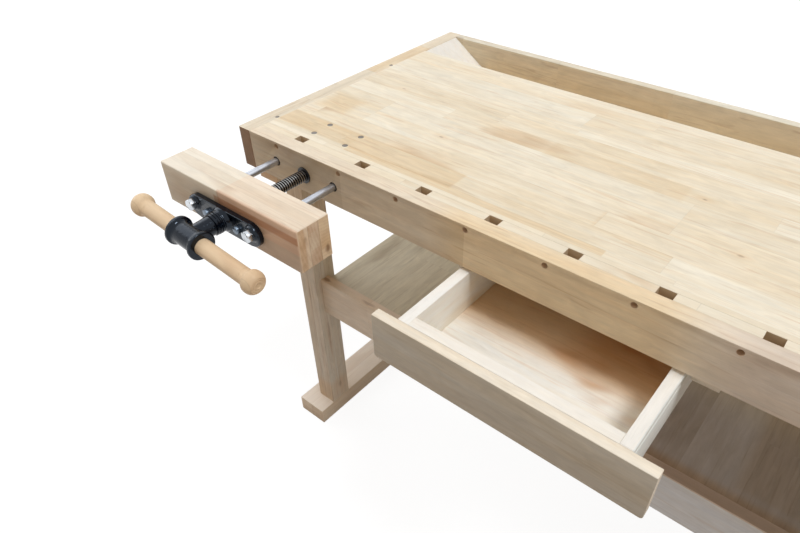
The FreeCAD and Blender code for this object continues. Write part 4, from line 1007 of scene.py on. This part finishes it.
KNOB_OUTLINE = (
    (-17.0, 14.2), (-12.0, 14.3), (-9.2, 14.6), (-7.7, 15.4), (-6.3, 16.9), (-4.6, 18.5), (-2.4, 19.4),
    (0.5, 19.85), (3.5, 19.95), (6.5, 19.7), (9.2, 18.9), (11.6, 17.6), (13.6, 15.9), (14.9, 14.4),
    (15.4, 13.5), (15.0, 12.8), (14.9, 12.2), (15.5, 11.6), (15.6, 9.4), (15.1, 8.8), (15.1, 8.2),
    (15.7, 7.6), (15.8, 5.2), (15.2, 4.6), (14.8, 3.4), (14.6, 2.2), (14.9, 1.6), (14.9, 0.5))


def make_knobs():
    """Two knobs with a swelling bead and a ringed end, mirrored, on the ends of the bar."""
    first = turned("knob", KNOB_OUTLINE, 64)
    moved(first, Matrix.Translation((137.5 * MM, 0, 0)) @ pointing(X_AXIS))
    second = copied(first, "knob_copy", Matrix.Rotation(math.pi, 4, "Z"))
    return smoothed(joined([first, second], "bar_knobs"), 40)


def make_vises():
    """Model each piece of the hardware once and copy it to both vises."""
    plate = make_plate()
    hub = make_hub()
    collar = make_collar()
    thread = make_thread()
    bar = make_bar()
    knobs = make_knobs()
    rod = turned("guide_rod", [(0, 6.4), (0.6, 7), (372.2, 7), (373, 6.2)], 40)
    smoothed(moved(rod, along_y(0, 0)), 35)
    rod_bolt = hex_bolt("rod_bolt", 19.0, 9.0)
    lag_bolt = hex_bolt("lag_bolt", 13.0, 7.0)
    patterns = [plate, hub, collar, thread, bar, knobs, rod, rod_bolt, lag_bolt]
    hub_middle = Matrix.Translation((0, -HUB_AHEAD * MM, SCREW_Z * MM))
    for vise in ("front", "tail"):
        place = vise_place(vise)
        tilted = place @ hub_middle @ Matrix.Rotation(bar_tilt(vise), 4, "Y")
        bar_low, bar_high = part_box(vise + "_bar")
        hub_low, hub_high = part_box(vise + "_hub")
        across, grain = (0, "x") if vise == "front" else (1, "y")
        shift = ((bar_low + bar_high) / 2 - (hub_low + hub_high) / 2)[across] / math.cos(bar_tilt(vise))
        slid = tilted @ Matrix.Translation((shift + HUB_OFFSET * MM, 0, 0))
        centred = tilted @ hub_middle.inverted()
        beech = wood(vise + "_bar_beech", bar_low, grain, (0.3, 0.3, 1.5), HANDLE_TONES, 71.0,
                     figure=0.3)
        for pattern, name, matrix, body, slot, material, node in (
                (plate, "_cast_plate", place, "_jaw", "black_casting", ENAMEL, "_jaw_plate"),
                (hub, "_cast_hub", centred, "_screw", "black_casting", ENAMEL, "_hub"),
                (collar, "_thrust_collar", place, "_screw", "black_casting", ENAMEL,
                 "_screw_collars"),
                (thread, "_spindle", place, "_screw", "screw_steel", THREAD, "_screw"),
                (bar, "_tommy_bar", slid, "_bar", "handle_wood", beech, "_bar"),
                (knobs, "_knob_pair", slid, "_bar", "handle_wood", beech, "_bar_knobs")):
            piece = copied(pattern, vise + name, matrix)
            finish(piece, vise + body, material, vise + node)
            if pattern is thread:
                brighten_crests(piece, vise)
        for pattern, name, spread, ahead, height, node, material in (
                (rod, "_rod_pair", ROD_SPREAD, 0, 0, "_guide_rods", BRIGHT),
                (rod_bolt, "_rod_end_bolts", ROD_SPREAD, -14, 0, "_rod_bolts", BOLT),
                (lag_bolt, "_plate_bolts", LAG_SPREAD, -10, PLATE_Z, "_jaw_bolts", DARK_BOLT)):
            pair = [copied(pattern, "half",
                           place @ Matrix.Translation(Vector((side * spread, ahead, height)) * MM))
                    for side in (-1, 1)]
            finish(joined(pair, vise + name), vise + "_jaw", material, vise + node)
        make_jaw(vise)
        recoat(frame["nodes"][vise + "_screw_bush"], BUSH)
        recoat(frame["nodes"][vise + "_nut_block"], ENAMEL)
    for pattern in patterns:
        bpy.data.objects.remove(pattern)


def make_fasteners():
    """Plain finishes for the bolts and screws that keep their own shape."""
    for node in ("end_cap_screws", "drawer_front_screws", "stretcher_bolts", "top_fixing_screws",
                 "front_nut_block_bolts", "tail_nut_block_bolts"):
        recoat(frame["nodes"][node], ZINC)


# ------------------------------------------------------------------ stage
def seen_directly(tree):
    """1 for what is seen straight or mirrored, 0 for the light that falls on things."""
    rays = add_node(tree, "ShaderNodeLightPath").outputs
    return calc(tree, "MAXIMUM", rays["Is Camera Ray"], calc(
        tree, "MAXIMUM", rays["Is Glossy Ray"], rays["Is Transmission Ray"]))


def make_stage():
    """Pale floor that keeps the bench's shadow, soft overhead light and white surroundings."""
    floor = primitive(bpy.ops.mesh.primitive_plane_add, "studio_floor", size=60, location=(0, 0, 0))
    material = bpy.data.materials.new("studio_floor")
    material.use_nodes = True
    tree = material.node_tree
    tree.nodes.clear()
    warm = add_node(tree, "ShaderNodeBsdfDiffuse", {"Color": (0.46, 0.40, 0.35, 1)}).outputs[0]
    pale = add_node(tree, "ShaderNodeBsdfDiffuse", {"Color": (0.17, 0.17, 0.17, 1)}).outputs[0]
    glow = add_node(tree, "ShaderNodeEmission", {"Color": (1, 1, 1, 1), "Strength": 0.91}).outputs[0]
    shown = add_node(tree, "ShaderNodeAddShader", {0: pale, 1: glow}).outputs[0]
    surface = add_node(tree, "ShaderNodeMixShader", {
        0: seen_directly(tree), 1: warm, 2: shown}).outputs[0]
    add_node(tree, "ShaderNodeOutputMaterial", {"Surface": surface})
    floor.data.materials.append(material)

    world = bpy.data.worlds.new("studio")
    bpy.context.scene.world = world
    world.use_nodes = True
    tree = world.node_tree
    tree.nodes.clear()
    sky = blend(tree, seen_directly(tree), (0.34, 0.305, 0.275, 1), (1, 1, 1, 1))
    back = add_node(tree, "ShaderNodeBackground", {"Color": sky, "Strength": 1.0}).outputs[0]
    add_node(tree, "ShaderNodeOutputWorld", {"Surface": back})

    for name, energy, width, lean, tint in (("overhead", 1.6, 18, 26, (0.96, 1.0, 1.06)),
                                            ("left_softbox", 1.08, 60, -58, (0.97, 1.0, 1.05))):
        lamp = bpy.data.lights.new(name, "SUN")
        lamp.energy = energy
        lamp.angle = math.radians(width)
        lamp.color = tint
        light = bpy.data.objects.new(name, lamp)
        light.rotation_euler = (0, math.radians(lean), 0)
        bpy.context.scene.collection.objects.link(light)


def make_camera():
    """A wide lens above the right half of the bench, looking down at the front vise's corner."""
    data = bpy.data.cameras.new("camera")
    data.sensor_width = 36.0
    data.lens = 28.56
    data.shift_x = -0.02625
    data.shift_y = 0.0301
    data.clip_end = 100.0
    camera = bpy.data.objects.new("camera", data)
    camera.location = at(992.2, -653.0, 1407.7)
    camera.rotation_euler = [math.radians(angle) for angle in (49.53, 0.53, 39.22)]
    bpy.context.scene.collection.objects.link(camera)
    bpy.context.scene.camera = camera


make_top()
make_base()
make_drawer()
make_vises()
make_fasteners()
make_stage()
make_camera()
bpy.context.scene.view_settings.view_transform = "Standard"
